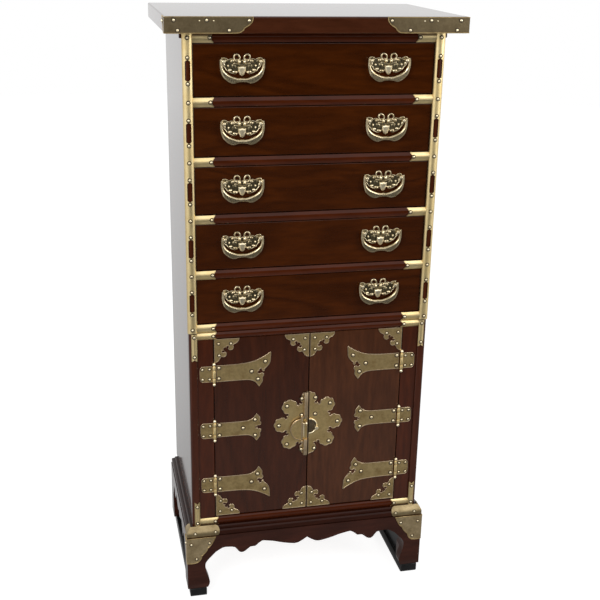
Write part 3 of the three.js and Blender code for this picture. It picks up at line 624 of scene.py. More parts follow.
def ways_in(outline):
    """For each corner of an outline: the step inwards for a rim one wide, and how far a rim can go in."""
    following = [*outline[1:], outline[0]]
    samples = []
    for (a, b), (c, d) in zip(outline, following):
        count = max(1, round(math.dist((a, b), (c, d)) / 1.5))
        samples += [(a + (c - a) * part / count, b + (d - b) * part / count) for part in range(count)]
    hand = 1 if sum(a * d - c * b for (a, b), (c, d) in zip(outline, following)) > 0 else -1
    ways = []
    for before, (a, b), after in zip([outline[-1], *outline[:-1]], outline, following):
        edge_in = Vector((a - before[0], b - before[1])).normalized()
        edge_out = Vector((after[0] - a, after[1] - b)).normalized()
        way = Vector((-edge_in.y - edge_out.y, edge_in.x + edge_out.x)).normalized() * hand
        straightness = edge_in.dot(edge_out)
        nearest = 0.1 if straightness > 0.8 else 2.4
        reach = 100
        for c, d in samples:
            depth = way.x * (c - a) + way.y * (d - b)
            distance = math.hypot(c - a, d - b)
            if depth > 0.02 and distance > nearest:
                reach = min(reach, distance * distance / (2 * depth))
        ways.append((way / max(0.6, math.sqrt(max(0, 1 + straightness) / 2)), 0.85 * reach))
    eased = []
    for index, (way, reach) in enumerate(ways):
        for near in (index - 1, (index + 1) % len(ways)):
            reach = min(reach, ways[near][1] + math.dist(outline[index], outline[near]))
        eased.append((way, reach))
    return eased


FIRST_INSET = 0.005


def step_in(piece, outline, steps):
    """Steps the chosen end face of a flat bar in from its outline, less wherever the outline is narrow."""
    ways = ways_in(outline)
    whole = sum(inward for inward, rise in steps)
    corners = outline
    gone = 0
    for inward, rise in steps:
        edit(bpy.ops.mesh.inset, everything=False, thickness=FIRST_INSET * MM, depth=rise * MM,
             use_even_offset=False)
        gone += inward
        face = next(face for face in piece.data.polygons if face.select)
        points = [piece.data.vertices[index] for index in face.vertices]
        flat = [(point.co.x / MM, point.co.z / MM) for point in points[:2]]
        first, second = (min(range(len(corners)), key=lambda index: math.dist(corners[index], place))
                         for place in flat)
        way_round = 1 if (second - first) % len(corners) == 1 else -1
        corners = [(a + way.x * gone * min(1, reach / whole), b + way.y * gone * min(1, reach / whole))
                   for (a, b), (way, reach) in zip(outline, ways)]
        for count, point in enumerate(points):
            a, b = corners[(first + way_round * count) % len(corners)]
            point.co.x, point.co.z = a * MM, b * MM
        piece.data.update()
    for face in piece.data.polygons:
        face.material_index = 1 if face.select else 0


def cut_plate(name, outline, back, thick, steps, paint, rim_paint, angle=50):
    """A plate whose face rises or sinks in steps from its rim, each with its width and its rise."""
    outline = clean(outline)
    piece = prism(name, outline, "Y", back, back - thick)
    step_in(piece, outline, steps)
    piece.data.materials.append(rim_paint)
    piece.data.materials.append(paint)
    smooth_but_flat_faces(piece, angle)
    return piece


def mount(name, outline, back, body, node=None, thick=PLATE, rim=0.8, sunk=0.3,
          paint=aged_brass, rim_paint=rubbed_brass):
    """A plate of sheet brass with a rubbed rim: its edge is eased, and its field is sunk a little."""
    steps = ((0.25, 0.2), (rim, 0.0), (0.25, -sunk))
    return fit(cut_plate(name, outline, back, thick, steps, paint, rim_paint, 30), body, node)


def take(piece):
    """Makes one piece the only one that is selected."""
    bpy.ops.object.select_all(action="DESELECT")
    piece.select_set(True)
    bpy.context.view_layer.objects.active = piece


FOLD_LINE = 1e-4


def fold_round(piece, corner, side, front):
    """Folds a flat plate round an upright corner of the case. The plate lies with x = 0 on the corner."""
    take(piece)
    edit(bpy.ops.mesh.bisect, plane_co=(0, 0, 0), plane_no=(1, 0, 0))
    for vertex in piece.data.vertices:
        along, out, up = vertex.co.x / MM, -vertex.co.y / MM, vertex.co.z
        on_fold = abs(along) < FOLD_LINE
        if along >= 0:
            vertex.co = (side * (corner + (out if on_fold else -along)) * MM, (front - out) * MM, up)
        else:
            vertex.co = (side * (corner + out) * MM, (front - (out if on_fold else along)) * MM, up)
    if side > 0:
        edit(bpy.ops.mesh.flip_normals)


slab_front = slab_low.y / MM
slab_corner = slab_high.x / MM
slab_bottom = slab_high.z / MM - SLAB_THICK / MM
bracket = [(0, 0.4), (104, 0.4), *flowing([(104, 0.4), (111, 1.2), (116.5, 4.6), (118, 7.6)]),
           *flowing([(119.5, 8.4), (126, 12.6), (130.5, 18.2), (131.6, 24.4)]), (131.6, 24.6)]
wrap = [(-29, 24.6), *flowing([(-29, 24.4), (-28, 18), (-24.5, 12.5), (-20, 9)]),
        *flowing([(-19.5, 7.8), (-17, 3.6), (-11, 0.4)])]
bracket_heads = [(13.5, 19.5), (61.8, 19.5), (124.8, 19), (19, 5), (95, 5)]
SIDE_HEAD = (20, 17)
PIP_HALF = 10.5
PIP_RISE = 18.6
PIP_SIZE = 0.55
for name, side in SIDES:
    plate = mount(f"top_bracket_{name}", [(a, slab_bottom + b) for a, b in bracket + wrap], 0, "case",
                  paint=dark_brass, rim_paint=aged_brass)
    fold_round(plate, slab_corner, side, slab_front)
    face = slab_front - PLATE
    spots = [(side * (slab_corner - a), face, slab_bottom + b) for a, b in bracket_heads]
    spots.append((side * (slab_corner + PLATE), slab_front + SIDE_HEAD[0], slab_bottom + SIDE_HEAD[1], side))
    rivets(f"top_bracket_rivets_{name}", spots, "case")
    pips = [(side * (slab_corner - bracket_heads[1][0] + a), face + 0.3, slab_bottom + PIP_RISE)
            for a in (-PIP_HALF, PIP_HALF)]
    rivets(f"top_bracket_pips_{name}", pips, "case", size=PIP_SIZE)

# ---- sleeves on the rails and stiles ----
# Bent brass sleeves cover every joint of the front frame. Those on the rails are rounded like the rails and
# end in fishtails; each stile has one long sleeve with six-sided windows that show the wood.
# Painted shade: sleeve_brass darkens towards both ends of U on each sheet, standing for the highlight falling
# off, with patina mixed in.
SLEEVE_PATINA_AND_SHADE = (0.30, 0.215, 0.105)
PATINA_AND_SHADE_DEPTH = 0.62
SHEET = 0.8


def shade_and_patina_at_ends(paint):
    """Painted shade and patina where a sleeve begins and ends, darker towards both ends of U, where the
    highlight falls off: U runs from 0 to 1 across each sheet.
    """
    tree = paint.node_tree
    shader = tree.nodes["Principled BSDF"]
    rubbed = shader.inputs["Base Color"].links[0].from_socket
    across = axes(tree, lay_node(tree, "UVMap"))["X"]
    centred = lay_node(tree, "Math", {1: 0.5}, {0: across}, operation="SUBTRACT")
    outward = lay_node(tree, "Math", fed={0: centred}, operation="ABSOLUTE")
    depth = lay_node(tree, "MapRange", {"From Min": 0.2, "From Max": 0.5, "To Max": PATINA_AND_SHADE_DEPTH},
                     {"Value": outward}, interpolation_type="SMOOTHSTEP")
    tone = lay_node(tree, "Mix", {"B": (*SLEEVE_PATINA_AND_SHADE, 1)}, {"Factor": depth, "A": rubbed}, data_type="RGBA")
    feed(tree, shader, {"Base Color": tone.outputs["Result"]})


# Paints shade and patina into the sleeve brass towards the ends of each sheet.
shade_and_patina_at_ends(sleeve_brass)


def bent_sheet(name, columns, rows, lay, paint=sleeve_brass, open_at=None):
    """A sheet bent over wood: lay(s, t) gives each corner's place, with s and t from 0 to 1."""
    piece = start_piece(name, bpy.ops.mesh.primitive_grid_add, x_subdivisions=len(columns) - 1,
                        y_subdivisions=len(rows) - 1, size=1)
    for index, vertex in enumerate(piece.data.vertices):
        row, column = divmod(index, len(columns))
        vertex.co = Vector(lay(columns[column], rows[row])) * MM
    if open_at:
        choose(piece, lambda face: open_at(face.center / MM))
        edit(bpy.ops.mesh.delete, everything=False, type="FACE")
    if sum(face.normal.y for face in piece.data.polygons) > 0:
        edit(bpy.ops.mesh.flip_normals)
    wall = piece.modifiers.new("wall", "SOLIDIFY")
    wall.thickness = SHEET * MM
    wall.offset = 1
    bpy.ops.object.modifier_apply(modifier="wall")
    fit(piece, "case", paint=paint, angle=40)


def even(count):
    return [step / count for step in range(count + 1)]


SLEEVE_REACH = case_half - 5
SLEEVE_TIP = 160
SLEEVE_COLUMNS = [0, 0.05, 0.1, 0.2, 0.4, 0.7, 1]
FISHTAIL = 4.5
SLEEVE_BELOW_BOX = 0.6
SLEEVE_RIVET = 0.96
TIP_RIVET = 165.7
CUT_WIDTH = 1.25
CUT_CURVE = 0.8
FLARE = 0.5
FLARE_LENGTH = 0.12


def forked(across):
    """How deep the fishtail is cut at a place across the sleeve, from -1 to 1."""
    return max(0, 1 - abs(across) * CUT_WIDTH) ** CUT_CURVE


def rail_sleeve(name, side, bottom, top):
    """The upper edge stays a little below the rail's top, where the drawer box slides over it."""
    def lay(s, t):
        across = 2 * t - 1
        tip = SLEEVE_TIP + FISHTAIL * forked(across)
        flare = FLARE * max(0, 1 - s / FLARE_LENGTH) * (1 if across > 0 else -1) * abs(across)
        x = tip + (SLEEVE_REACH - tip) * s
        z = bottom + (top - SLEEVE_BELOW_BOX - bottom) * t + flare
        return side * x, case_face + 0.2 + RAIL_CROWN * across * across, z

    bent_sheet(name, SLEEVE_COLUMNS, even(10), lay)


WINDOW_HALF = 13.7
WINDOW_PEAK = 2.6
WINDOW_SIDE = 3.9
WINDOW_RIVET = 19.5
STILE_RIVET = 200
SLEEVE_HALF = 7.1
sleeve_middle = opening_half + 6.9
profile = [0, 0.05, 0.12, 0.20, 0.31, 0.40, 0.5, 0.60, 0.69, 0.80, 0.88, 0.95, 1]
drawer_middles = [(top + bottom) / 2 for top, bottom in zip(drawer_tops, drawer_bottoms)]
levels = sorted([frame_bottom + 0.3, frame_top - 0.3]
                + [middle + half for middle in drawer_middles for half in (-WINDOW_HALF, WINDOW_HALF)])
for name, side in SIDES:
    def lay(s, t, side=side):
        turn = math.pi * s
        across = -SLEEVE_HALF * math.cos(turn)
        z = levels[round(t * (len(levels) - 1))]
        if abs(across) < WINDOW_SIDE and 0 < t < 1:
            middle = min(drawer_middles, key=lambda level: abs(level - z))
            z += math.copysign(WINDOW_PEAK * (1 - abs(across) / WINDOW_SIDE), z - middle)
        return side * (sleeve_middle + across), case_face + 3.4 - 5.0 * math.sin(turn) ** 0.5, z

    def in_window(centre):
        near = min(abs(centre.z - middle) for middle in drawer_middles)
        return abs(abs(centre.x) - sleeve_middle) < WINDOW_SIDE and near < 2

    bent_sheet(f"stile_sleeve_{name}", profile, even(len(levels) - 1), lay, open_at=in_window)
    spots = []
    for place, bottom, top in rail_places:
        rail_sleeve(f"sleeve_{place}_{name}", side, bottom, top)
        middle = (bottom + top) / 2
        spots += [(side * TIP_RIVET, case_face - 0.6, middle), (side * STILE_RIVET, case_face - 2.6, middle)]
    spots += [(side * STILE_RIVET, case_face - 2.6, middle + half)
              for middle in drawer_middles for half in (-WINDOW_RIVET, WINDOW_RIVET)]
    rivets(f"sleeve_rivets_{name}", spots, "case", size=SLEEVE_RIVET)

LOWER_ARM_WIDTH = 8.6
LOWER_RIVET = 197.5
LOWER_BULGE = 1.8
lower_sleeves = (("over_doors", lower_top - HEAD_RAIL, lower_top, -1, 458.7, 467),
                 ("under_doors", lower_bottom + 0.5, lower_bottom + SILL_RAIL, 1, 189.2, 181))
for name, side in SIDES:
    spots = []
    for place, bottom, top, way, tip, rivet_level in lower_sleeves:
        rail_sleeve(f"sleeve_{place}_{name}", side, bottom, top)
        start = top if way < 0 else bottom

        def lay(s, t, side=side, way=way, tip=tip, start=start):
            across = 2 * s - 1
            end = tip - way * FISHTAIL * 0.7 * forked(across)
            bulge = LOWER_BULGE * (1 - abs(across) ** 2.4)
            x = opening_half + 0.2 + LOWER_ARM_WIDTH * s
            return side * x, case_face + 0.4 - bulge, start + (end - start) * t

        bent_sheet(f"sleeve_beside_{place}_{name}", even(8), [0, 0.3, 0.6, 0.85, 0.93, 1], lay)
        spots += [(side * TIP_RIVET, case_face - 0.6, (bottom + top) / 2),
                  (side * LOWER_RIVET, case_face - 2.2, (bottom + top) / 2),
                  (side * LOWER_RIVET, case_face - 2.2, rivet_level)]
    rivets(f"lower_sleeve_rivets_{name}", spots, "case", size=SLEEVE_RIVET)

# ---- brass on the base ----
# The moulding's corners are covered by rounded brass caps, and the top of each front leg by a stepped plate
# bent round its corner.
SMALL_RIVET = 0.9
CAP_REACH = 57.5
CAP_WRAP = 24
CAP_ROUND_END = 6
CAP_PROUD = 0.5
COVE_DEPTH = 7.2
COVE_FROM = 6.2
COVE_HEIGHT = 11.3
FOOT_EASE = 1.6
FOOT_HEIGHT = 2.2
CORNER_EDGE = 2.2
mould_low, mould_high = box_mm("base_moulding")
mould_corner, mould_front, mould_bottom, mould_top = mould_high.x, mould_low.y, mould_low.z, mould_high.z
cap_brass = brass("cap_brass", (0.40, 0.31, 0.17), (0.24, 0.18, 0.093), 0.42)
bend = CAP_WRAP / (CAP_REACH + CAP_WRAP)
cap_columns = sorted([*even(16), *(bend + shift for shift in (-0.11, -0.02, 0.0, 0.02, 0.11))])
for name, side in SIDES:
    def lay(s, t, side=side):
        z = mould_bottom + 0.3 + (mould_top - mould_bottom + 1.2) * t
        rise = z - mould_bottom
        cove = COVE_DEPTH * max(0, (rise - COVE_FROM) / COVE_HEIGHT) ** 1.5
        inset = -CAP_PROUD + cove + FOOT_EASE * max(0, 1 - rise / FOOT_HEIGHT) ** 2
        across = 2 * t - 1
        end = CAP_ROUND_END * (1 - math.sqrt(max(0, 1 - across ** 2)))
        along = -(CAP_WRAP - end) + (CAP_REACH + CAP_WRAP - 2 * end) * s
        if abs(along) < CORNER_EDGE:
            along = 0
        if along >= 0:
            return side * (mould_corner - max(along, inset)), mould_front + inset, z
        return side * (mould_corner - inset), mould_front + max(-along, inset), z

    bent_sheet(f"moulding_cap_{name}", cap_columns, even(12), lay, paint=cap_brass)
    spots = [(side * (mould_corner - a), mould_front - 0.9, mould_bottom + 7.6) for a in (14, 50)]
    rivets(f"moulding_cap_rivets_{name}", spots, "case", size=SMALL_RIVET)

leg_low, leg_high = box_mm("leg_frame")
leg_corner, leg_front, leg_top = leg_high.x, leg_low.y, leg_high.z
leg_heads = [(7.5, -13), (40, -13), (16.5, -43.5)]
LEG_SIDE_HEAD = 8
leg_plate = [(0, -52), *flowing([(2, -52.6), (10, -53), (18, -51.5), (23.5, -47), (25.8, -42), (26, -38.4)]),
             *flowing([(27.5, -38), (32, -33), (35.5, -28.5), (37.6, -23)]),
             *flowing([(39, -22.4), (43.5, -17.5), (47.6, -10), (51.5, -1.4)]), (51.5, -1), (0, -1)]
leg_wrap = [(-20, -1), *flowing([(-20, -1.5), (-18.5, -12), (-14, -24), (-12.5, -36)]),
            *flowing([(-12, -38), (-9, -46), (-3, -51.6)])]
for name, side in SIDES:
    plate = mount(f"leg_plate_{name}", [(a, leg_top + b) for a, b in leg_plate + leg_wrap], 0, "case",
                  paint=worn_brass, rim_paint=aged_brass)
    fold_round(plate, leg_corner, side, leg_front)
    spots = [(side * (leg_corner - a), leg_front - PLATE, leg_top + b) for a, b in leg_heads]
    spots.append((side * (leg_corner + PLATE), leg_front + LEG_SIDE_HEAD, leg_top + leg_heads[0][1], side))
    rivets(f"leg_plate_rivets_{name}", spots, "case", size=SMALL_RIVET)

# ---- corner plates on the doors ----
# Every corner of both doors has a cut-out cloud plate: two rolls on its long edge with three round bites
# between them.
half_cloud = [(43, 0.2), (42.4, 4), (39.4, 8.2), (34.6, 10.6),
              *arc((28, 16), 5.3, -38, 148, 9), *arc((23, 15.2), 2.0, 30, -170, 6),
              *arc((18.6, 18.6), 2.8, -20, -110, 4)]
cloud = [(0.2, 0.2), *half_cloud, *[(b, a) for a, b in reversed(half_cloud)]]
cloud_heads = [(7.6, 8.5), (28.4, 9), (8.5, 29.5)]
door_face = door_low.y
for name, side in SIDES:
    for place, x, inward in (("hinge", door_high.x, -1), ("seam", door_low.x, 1)):
        for level, z, up in (("top", door_high.z, -1), ("bottom", door_low.z, 1)):
            way = side * inward
            label = f"{level}_{place}_{name}"
            mount(f"door_plate_{label}", turned(cloud, way, up, (side * x, z)), door_face - 0.05,
                  f"door_{name}")
            heads = turned(cloud_heads, way, up, (side * x, z))
            rivets(f"door_plate_rivets_{label}", [(a, door_face - PLATE, b) for a, b in heads],
                   f"door_{name}", size=SMALL_RIVET)

# ---- hinges ----
# Three strap hinges on each door: a short leaf on the jamb and a forked strap on the door, rolled round a
# pin with a ball at each end.
HINGE_X = 165.0
HINGE_Y = door_face - 3.2
BARREL = 2.7
KNUCKLE = 6.9
LEAF_KNUCKLES = (("low", -15, -7.4), ("high", 7.4, 15))
HINGE_PIN = 1.6
PIN_HALF = 19
BALL = 2.9
BALL_PLACE = 18.5
STRAP_GAP = 0.6
LEAF_HEAD_PLACES = (184.3, 172.3)
LEAF_HEAD_RISE = 9.3
LARGE_RIVET = 1.14
hinge_middles = {}
for level in ("top", "middle", "bottom"):
    low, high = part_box(f"{level}_hinge_leaf_right")
    hinge_middles[level] = (low[2] + high[2]) / 2 / MM
upper_edge = [(4, 15.2), (28, 15.2), (45, 15.8), (59, 17.2), (69, 19.4), (79, 23.4), (89, 28.8), (96.5, 34)]
long_tip = [(98, 33.2), (97.4, 25), (96.9, 17.4), (94.8, 11.9), (91.2, 6.8), (87.2, 3.2)]
lower_edge = [(83.4, -13.2), (83.8, -19), (80.6, -24.4), (77.4, -29)]
lower_back = [(75, -26.2), (71.3, -20.8), (65.2, -17.2), (57, -15.4), (38, -15), (4, -15.2)]
fork_half = [*arc((81.6, -7.6), 4.2, 150, -50, 8), *flowing(lower_edge), *flowing(lower_back)]
long_strap = [*flowing(upper_edge), *flowing(long_tip), *arc((84.6, 1.2), 2.4, 40, -160, 7),
              *arc((80.2, 2.2), 2.0, -10, 200, 7), *arc((77.2, -2.2), 2.3, 100, 290, 6), *fork_half]
short_fork = [(a * 0.95, b * 0.9) for a, b in fork_half]
short_strap = [*[(a, -b) for a, b in reversed(short_fork)], *arc((73.6, 3.0), 1.9, 20, -150, 5),
               *arc((73.6, -3.0), 1.9, 150, -20, 5), *short_fork]
long_heads = [(64.3, 0.3), (87.8, 17.2), (75.2, -14.6)]
short_heads = [(49.5, 0.6), (70.5, 15), (70.5, -15)]
strap_shapes = {"top": (long_strap, 1, [(8.3, 10.7), (8.3, -8.8), *long_heads]),
                "middle": (short_strap, 1, [(8.3, 9.8), (8.3, -9.8), *short_heads]),
                "bottom": (long_strap, -1, [(8.3, 8.8), (8.3, -10.7), *long_heads])}


def barrel(name, x, y, z0, z1, radius, body, node, paint):
    piece = start_piece(name, bpy.ops.mesh.primitive_cylinder_add, vertices=18, radius=radius * MM,
                        depth=(z1 - z0) * MM, location=(x * MM, y * MM, (z0 + z1) / 2 * MM))
    bpy.ops.object.transform_apply(location=True, rotation=True, scale=True)
    choose(piece, lambda face: abs(face.normal.z) > 0.9)
    edit(bpy.ops.mesh.bevel, everything=False, offset=0.35 * MM, segments=2, affect="EDGES")
    fit(piece, body, node, paint, 40)


def ball(name, place, radius, body, node, paint, stretch=1.1):
    """A ball with a slight waist towards its poles, a little taller than wide."""
    piece = start_piece(name, bpy.ops.mesh.primitive_uv_sphere_add, segments=16, ring_count=10,
                        radius=radius * MM)
    for vertex in piece.data.vertices:
        neck = 1 - 0.25 * max(0, abs(vertex.co.z) / (radius * MM) - 0.4)
        vertex.co = (vertex.co.x * neck, vertex.co.y * neck, vertex.co.z * stretch)
    piece.data.transform(Matrix.Translation(Vector(place) * MM))
    fit(piece, body, node, paint, 60)


leaf_shape = [(2.2, 14.6), (19.5, 14.6), (22, 13), (24, 10), (24.5, 0), (24, -10), (22, -13), (19.5, -14.6),
              (2.2, -14.6)]
for name, side in SIDES:
    x = side * HINGE_X
    strap_start = side * (door_high.x + STRAP_GAP)
    for level, middle in hinge_middles.items():
        leaf_node, strap_node = f"{level}_hinge_leaf_{name}", f"{level}_hinge_strap_{name}"
        mount(f"hinge_leaf_{level}_{name}", turned(leaf_shape, side, 1, (x, middle)), door_face - 0.1, "case",
              node=leaf_node, rim=0.5)
        spots = [(side * a, door_face - PLATE, middle + b)
                 for a in LEAF_HEAD_PLACES for b in (-LEAF_HEAD_RISE, LEAF_HEAD_RISE)]
        rivets(f"hinge_leaf_rivets_{level}_{name}", spots, "case", size=SMALL_RIVET)
        for end, z0, z1 in LEAF_KNUCKLES:
            barrel(f"hinge_barrel_{end}_{level}_{name}", x, HINGE_Y, middle + z0, middle + z1, BARREL, "case",
                   leaf_node, sleeve_brass)
        barrel(f"hinge_pin_{level}_{name}", x, HINGE_Y, middle - PIN_HALF, middle + PIN_HALF, HINGE_PIN,
               "case", leaf_node, sleeve_brass)
        for end, z in (("low", -BALL_PLACE), ("high", BALL_PLACE)):
            ball(f"hinge_ball_{end}_{level}_{name}", (x, HINGE_Y, middle + z), BALL, "case", leaf_node,
                 bright_brass)
        shape, up, heads = strap_shapes[level]
        mount(f"hinge_strap_{level}_{name}", turned(shape, -side, up, (strap_start, middle)), door_face - 0.1,
              f"door_{name}", node=strap_node, rim=0.9)
        places = turned(heads, -side, up, (strap_start, middle))
        rivets(f"hinge_strap_rivets_{level}_{name}", [(a, door_face - PLATE, b) for a, b in places],
               f"door_{name}", size=LARGE_RIVET)
        barrel(f"hinge_knuckle_{level}_{name}", x, HINGE_Y, middle - KNUCKLE, middle + KNUCKLE, BARREL,
               f"door_{name}", strap_node, sleeve_brass)

# ---- lock ----
# A round lock plate of eight scalloped lobes, sawn in two where the doors meet. The left half carries the
# bar, the staple with its hanging pin, and the moon pull; the right half carries the cup and a stud.
lock_low, lock_high = box_mm("lock_plate_left")
LOCK_MIDDLE = (lock_low.z + lock_high.z) / 2
LOBES = 8
LOBE_PLACE = 47.0
SCALLOP_PLACE = 9.6
SCALLOP = 5.0
BITE = (39.85, 13.3)
BITE_RADIUS = 2.2
NOTCH = 42.8
LOCK_THICK = 2.0


def spun(points, degrees):
    cos, sin = math.cos(math.radians(degrees)), math.sin(math.radians(degrees))
    return [(a * cos - b * sin, a * sin + b * cos) for a, b in points]


lobe = arc((BITE[0], -BITE[1]), BITE_RADIUS, 200, 35, 6)
for bearing in (-96, -48, 0, 48, 96):
    centre = (LOBE_PLACE + SCALLOP_PLACE * math.cos(math.radians(bearing)),
              SCALLOP_PLACE * math.sin(math.radians(bearing)))
    lobe += arc(centre, SCALLOP, bearing - 52, bearing + 52, 5)
lobe += arc(BITE, BITE_RADIUS, -35, -200, 6)
lobe += spun([(NOTCH, 0)], 180 / LOBES)
rosette = [(a, LOCK_MIDDLE + b) for turn in range(LOBES) for a, b in spun(lobe, turn * 360 / LOBES)]
lock_brass = brass("lock_brass", (0.74, 0.56, 0.26), (0.46, 0.325, 0.14), 0.42, 45.0)
seam = door_low.x + 0.1
lock_back = door_face - 0.1
lock_face = lock_back - LOCK_THICK - 0.2
lock_spots = [(38.5, 36), (52.4, -0.5), (38, -38), (12, 48.5), (12, 17), (11.5, -50.3)]
for name, side in SIDES:
    inside = [side * a > seam + 0.3 for a, b in rosette]
    first = next(index for index, here in enumerate(inside) if here and not inside[index - 1])
    run = [*rosette[first:], *rosette[:first]]
    half = [point for point, here in zip(run, [*inside[first:], *inside[:first]]) if here]
    half = [(side * seam, half[0][1]), *half, (side * seam, half[-1][1])]
    mount(f"lock_rosette_{name}", half, lock_back, f"door_{name}", f"lock_plate_{name}",
          thick=LOCK_THICK, paint=lock_brass)
    rivets(f"lock_rivets_{name}", [(side * a, lock_face + 0.3, LOCK_MIDDLE + b) for a, b in lock_spots],
           f"door_{name}", size=LARGE_RIVET)

BAR_WIDTH = 8.2
BAR_PROUD = 4.4
BAR_HALF = 60.8
BAR_GAP = (296.05, 337.05)
BAR_STEPS = 24
bar_middle = -seam - BAR_WIDTH / 2
bar_section = [(bar_middle - BAR_WIDTH / 2, lock_face + 0.5), (bar_middle + BAR_WIDTH / 2, lock_face + 0.5)]
for step in range(BAR_STEPS + 1):
    turn = math.pi * step / BAR_STEPS
    ribbed = 1 - 0.07 * (0.5 - 0.5 * math.cos(8 * turn))
    bar_section.append((bar_middle + BAR_WIDTH / 2 * ribbed * math.cos(turn),
                        lock_face - BAR_PROUD * ribbed * math.sin(turn) ** 0.7))
for name, low_end, high_end in (("lower", LOCK_MIDDLE - BAR_HALF, BAR_GAP[0]),
                                ("upper", BAR_GAP[1], LOCK_MIDDLE + BAR_HALF)):
    bar = prism(f"lock_bar_{name}", bar_section, "Z", low_end, high_end)
    edit(bpy.ops.mesh.bevel, everything=False, offset=0.5 * MM, segments=2, affect="EDGES")
    fit(bar, "door_left", "lock_plate_left", rubbed_brass, 40)


def ring(name, centre, axis, major, minor, name_of_door, paint):
    turns = {"X": (0, math.pi / 2, 0), "Y": (math.pi / 2, 0, 0)}
    piece = start_piece(name, bpy.ops.mesh.primitive_torus_add, major_radius=major * MM,
                        minor_radius=minor * MM, major_segments=36, minor_segments=10, rotation=turns[axis])
    bpy.ops.object.transform_apply(location=True, rotation=True, scale=True)
    for vertex in piece.data.vertices:
        vertex.co += Vector(centre) * MM
    return fit(piece, f"door_{name_of_door}", f"lock_plate_{name_of_door}", paint, 40)


def round_section(x, z, radius, steps):
    turns = (math.tau * step / steps for step in range(steps))
    return [(x + radius * math.cos(turn), z + radius * math.sin(turn)) for turn in turns]


def stud(name, x, z, back, front, radius, name_of_door, paint, rounding=0.8):
    piece = prism(name, round_section(x, z, radius, 24), "Y", back, front)
    edit(bpy.ops.mesh.bevel, everything=False, offset=rounding * MM, segments=3, affect="EDGES")
    return fit(piece, f"door_{name_of_door}", f"lock_plate_{name_of_door}", paint, 40)


STAPLE_PLACE = (bar_middle, -131.3, 328.05)
STAPLE = 3.1
STAPLE_WIRE = 1.1
CUP = (1.4, 321.0)
CUP_RADIUS = 13.8
CUP_RIM = 1.3
CUP_FLOOR = 13.4
STUD = (13.4, 319)
STUD_FRONT = -136.0
STUD_RADIUS = 3.3
ring("lock_staple", STAPLE_PLACE, "X", STAPLE, STAPLE_WIRE, "left", bright_brass)
cup = ring("lock_cup_rim", (CUP[0], lock_face - 1.6, CUP[1]), "Y", CUP_RADIUS, CUP_RIM, "right", bright_brass)
# The cup's floor is a near-black disc: painted shade where the cup is hollow.
hollow = stud("lock_cup_floor", *CUP, lock_face + 0.4, lock_face - 0.5, CUP_FLOOR, "right", dark_seat_and_cup_shade,
              rounding=0.3)
for piece in (cup, hollow):
    take(piece)
    edit(bpy.ops.mesh.bisect, plane_co=(seam * MM, 0, 0), plane_no=(1, 0, 0), clear_inner=True, use_fill=True)
stud("lock_stud", *STUD, lock_face + 0.5, STUD_FRONT, STUD_RADIUS, "right", bright_brass)

MOON = (-11.8, -130.9, 316.55)
MOON_RADIUS = 21
MOON_EYE = 2.5
MOON_ROD = 1.25
MOON_FOOT = 1.8
moon_low, moon_high = MOON[2] - MOON_RADIUS, MOON[2] + MOON_RADIUS
for name, way in (("lower", -1), ("upper", 1)):
    z0, z1 = sorted((MOON[2] + way * (MOON_RADIUS + 0.6), MOON[2] + way * (MOON_RADIUS + 4.6)))
    barrel(f"moon_pull_eye_{name}", MOON[0], MOON[1], z0, z1, MOON_EYE, "door_left", "lock_plate_left",
           rubbed_brass)
    stud(f"moon_pull_foot_{name}", MOON[0], (z0 + z1) / 2, lock_face + 0.4, MOON[1] + 1.0, MOON_FOOT, "left",
         rubbed_brass, rounding=0.2)
moon_shape = [(MOON[0] - 0.4, moon_high - 0.2), *arc((MOON[0], MOON[2]), MOON_RADIUS, 92, 268, 28),
              (MOON[0] - 0.4, moon_low + 0.2)]
mount("moon_pull_plate", moon_shape, MOON[1] + 0.9, "moon_pull", "lock_moon_pull", thick=1.6,
      rim=1.5, sunk=0.5, paint=lock_brass)
barrel("moon_pull_rod", MOON[0], MOON[1], moon_low - 4, moon_high + 4, MOON_ROD, "moon_pull",
       "lock_moon_pull", rubbed_brass)
repaint("lock_pin", bright_brass)

# ---- drawer pulls ----
# Cast brass pulls, two on each drawer. The back plate is a spread-winged shape with two scroll loops, a
# shield and beads; a heavy bail hangs from two posts in front of it.
# The pulls are one cast brass in darker and lighter copies: cast_dark on the sunk field is partly patina and
# partly painted shade in the recesses.
cast_dark = brass("cast_dark", (0.30, 0.25, 0.15), (0.07, 0.056, 0.032), 0.30, 160.0, dents=0.5)
cast_light = brass("cast_light", (0.70, 0.59, 0.39), (0.34, 0.27, 0.15), 0.27, 120.0, dents=0.3)
wing = flowing([(0, 14.6), (4.5, 16.4), (12, 16.4), (17, 17.4), (21, 16.2), (25, 18.4), (29.6, 18.8),
                (32.2, 16), (31.6, 10.5), (29.6, 5.4), (26.6, 2.4), (24.4, -0.8), (20.6, -3.4), (16, -5.4),
                (12, -6.6), (8.6, -5), (5, -2.6), (0, -3)], 3)
wings = [*wing, *[(-a, b) for a, b in reversed(wing)]]
LOOP = 4.9
LOOP_WIRE = 1.5
LOOP_PLACE = (7.9, -1.3, 18.2)
LOOP_LEAN = 18


def bead(side, u, w, across, high, rise, lean, paint):
    """A bead pressed out of the plate: where it is, its half sizes and how it leans."""
    piece = start_piece("pull_bead", bpy.ops.mesh.primitive_uv_sphere_add, segments=12, ring_count=8,
                        radius=1.0)
    piece.data.transform(Matrix.Translation(Vector((side * u, -1.2, w)) * MM)
                         @ Matrix.Rotation(math.radians(side * lean), 4, "Y")
                         @ Matrix.Diagonal((across * MM, rise * MM, high * MM, 1)))
    piece.data.materials.append(paint)
    bpy.ops.object.shade_smooth()
    return piece
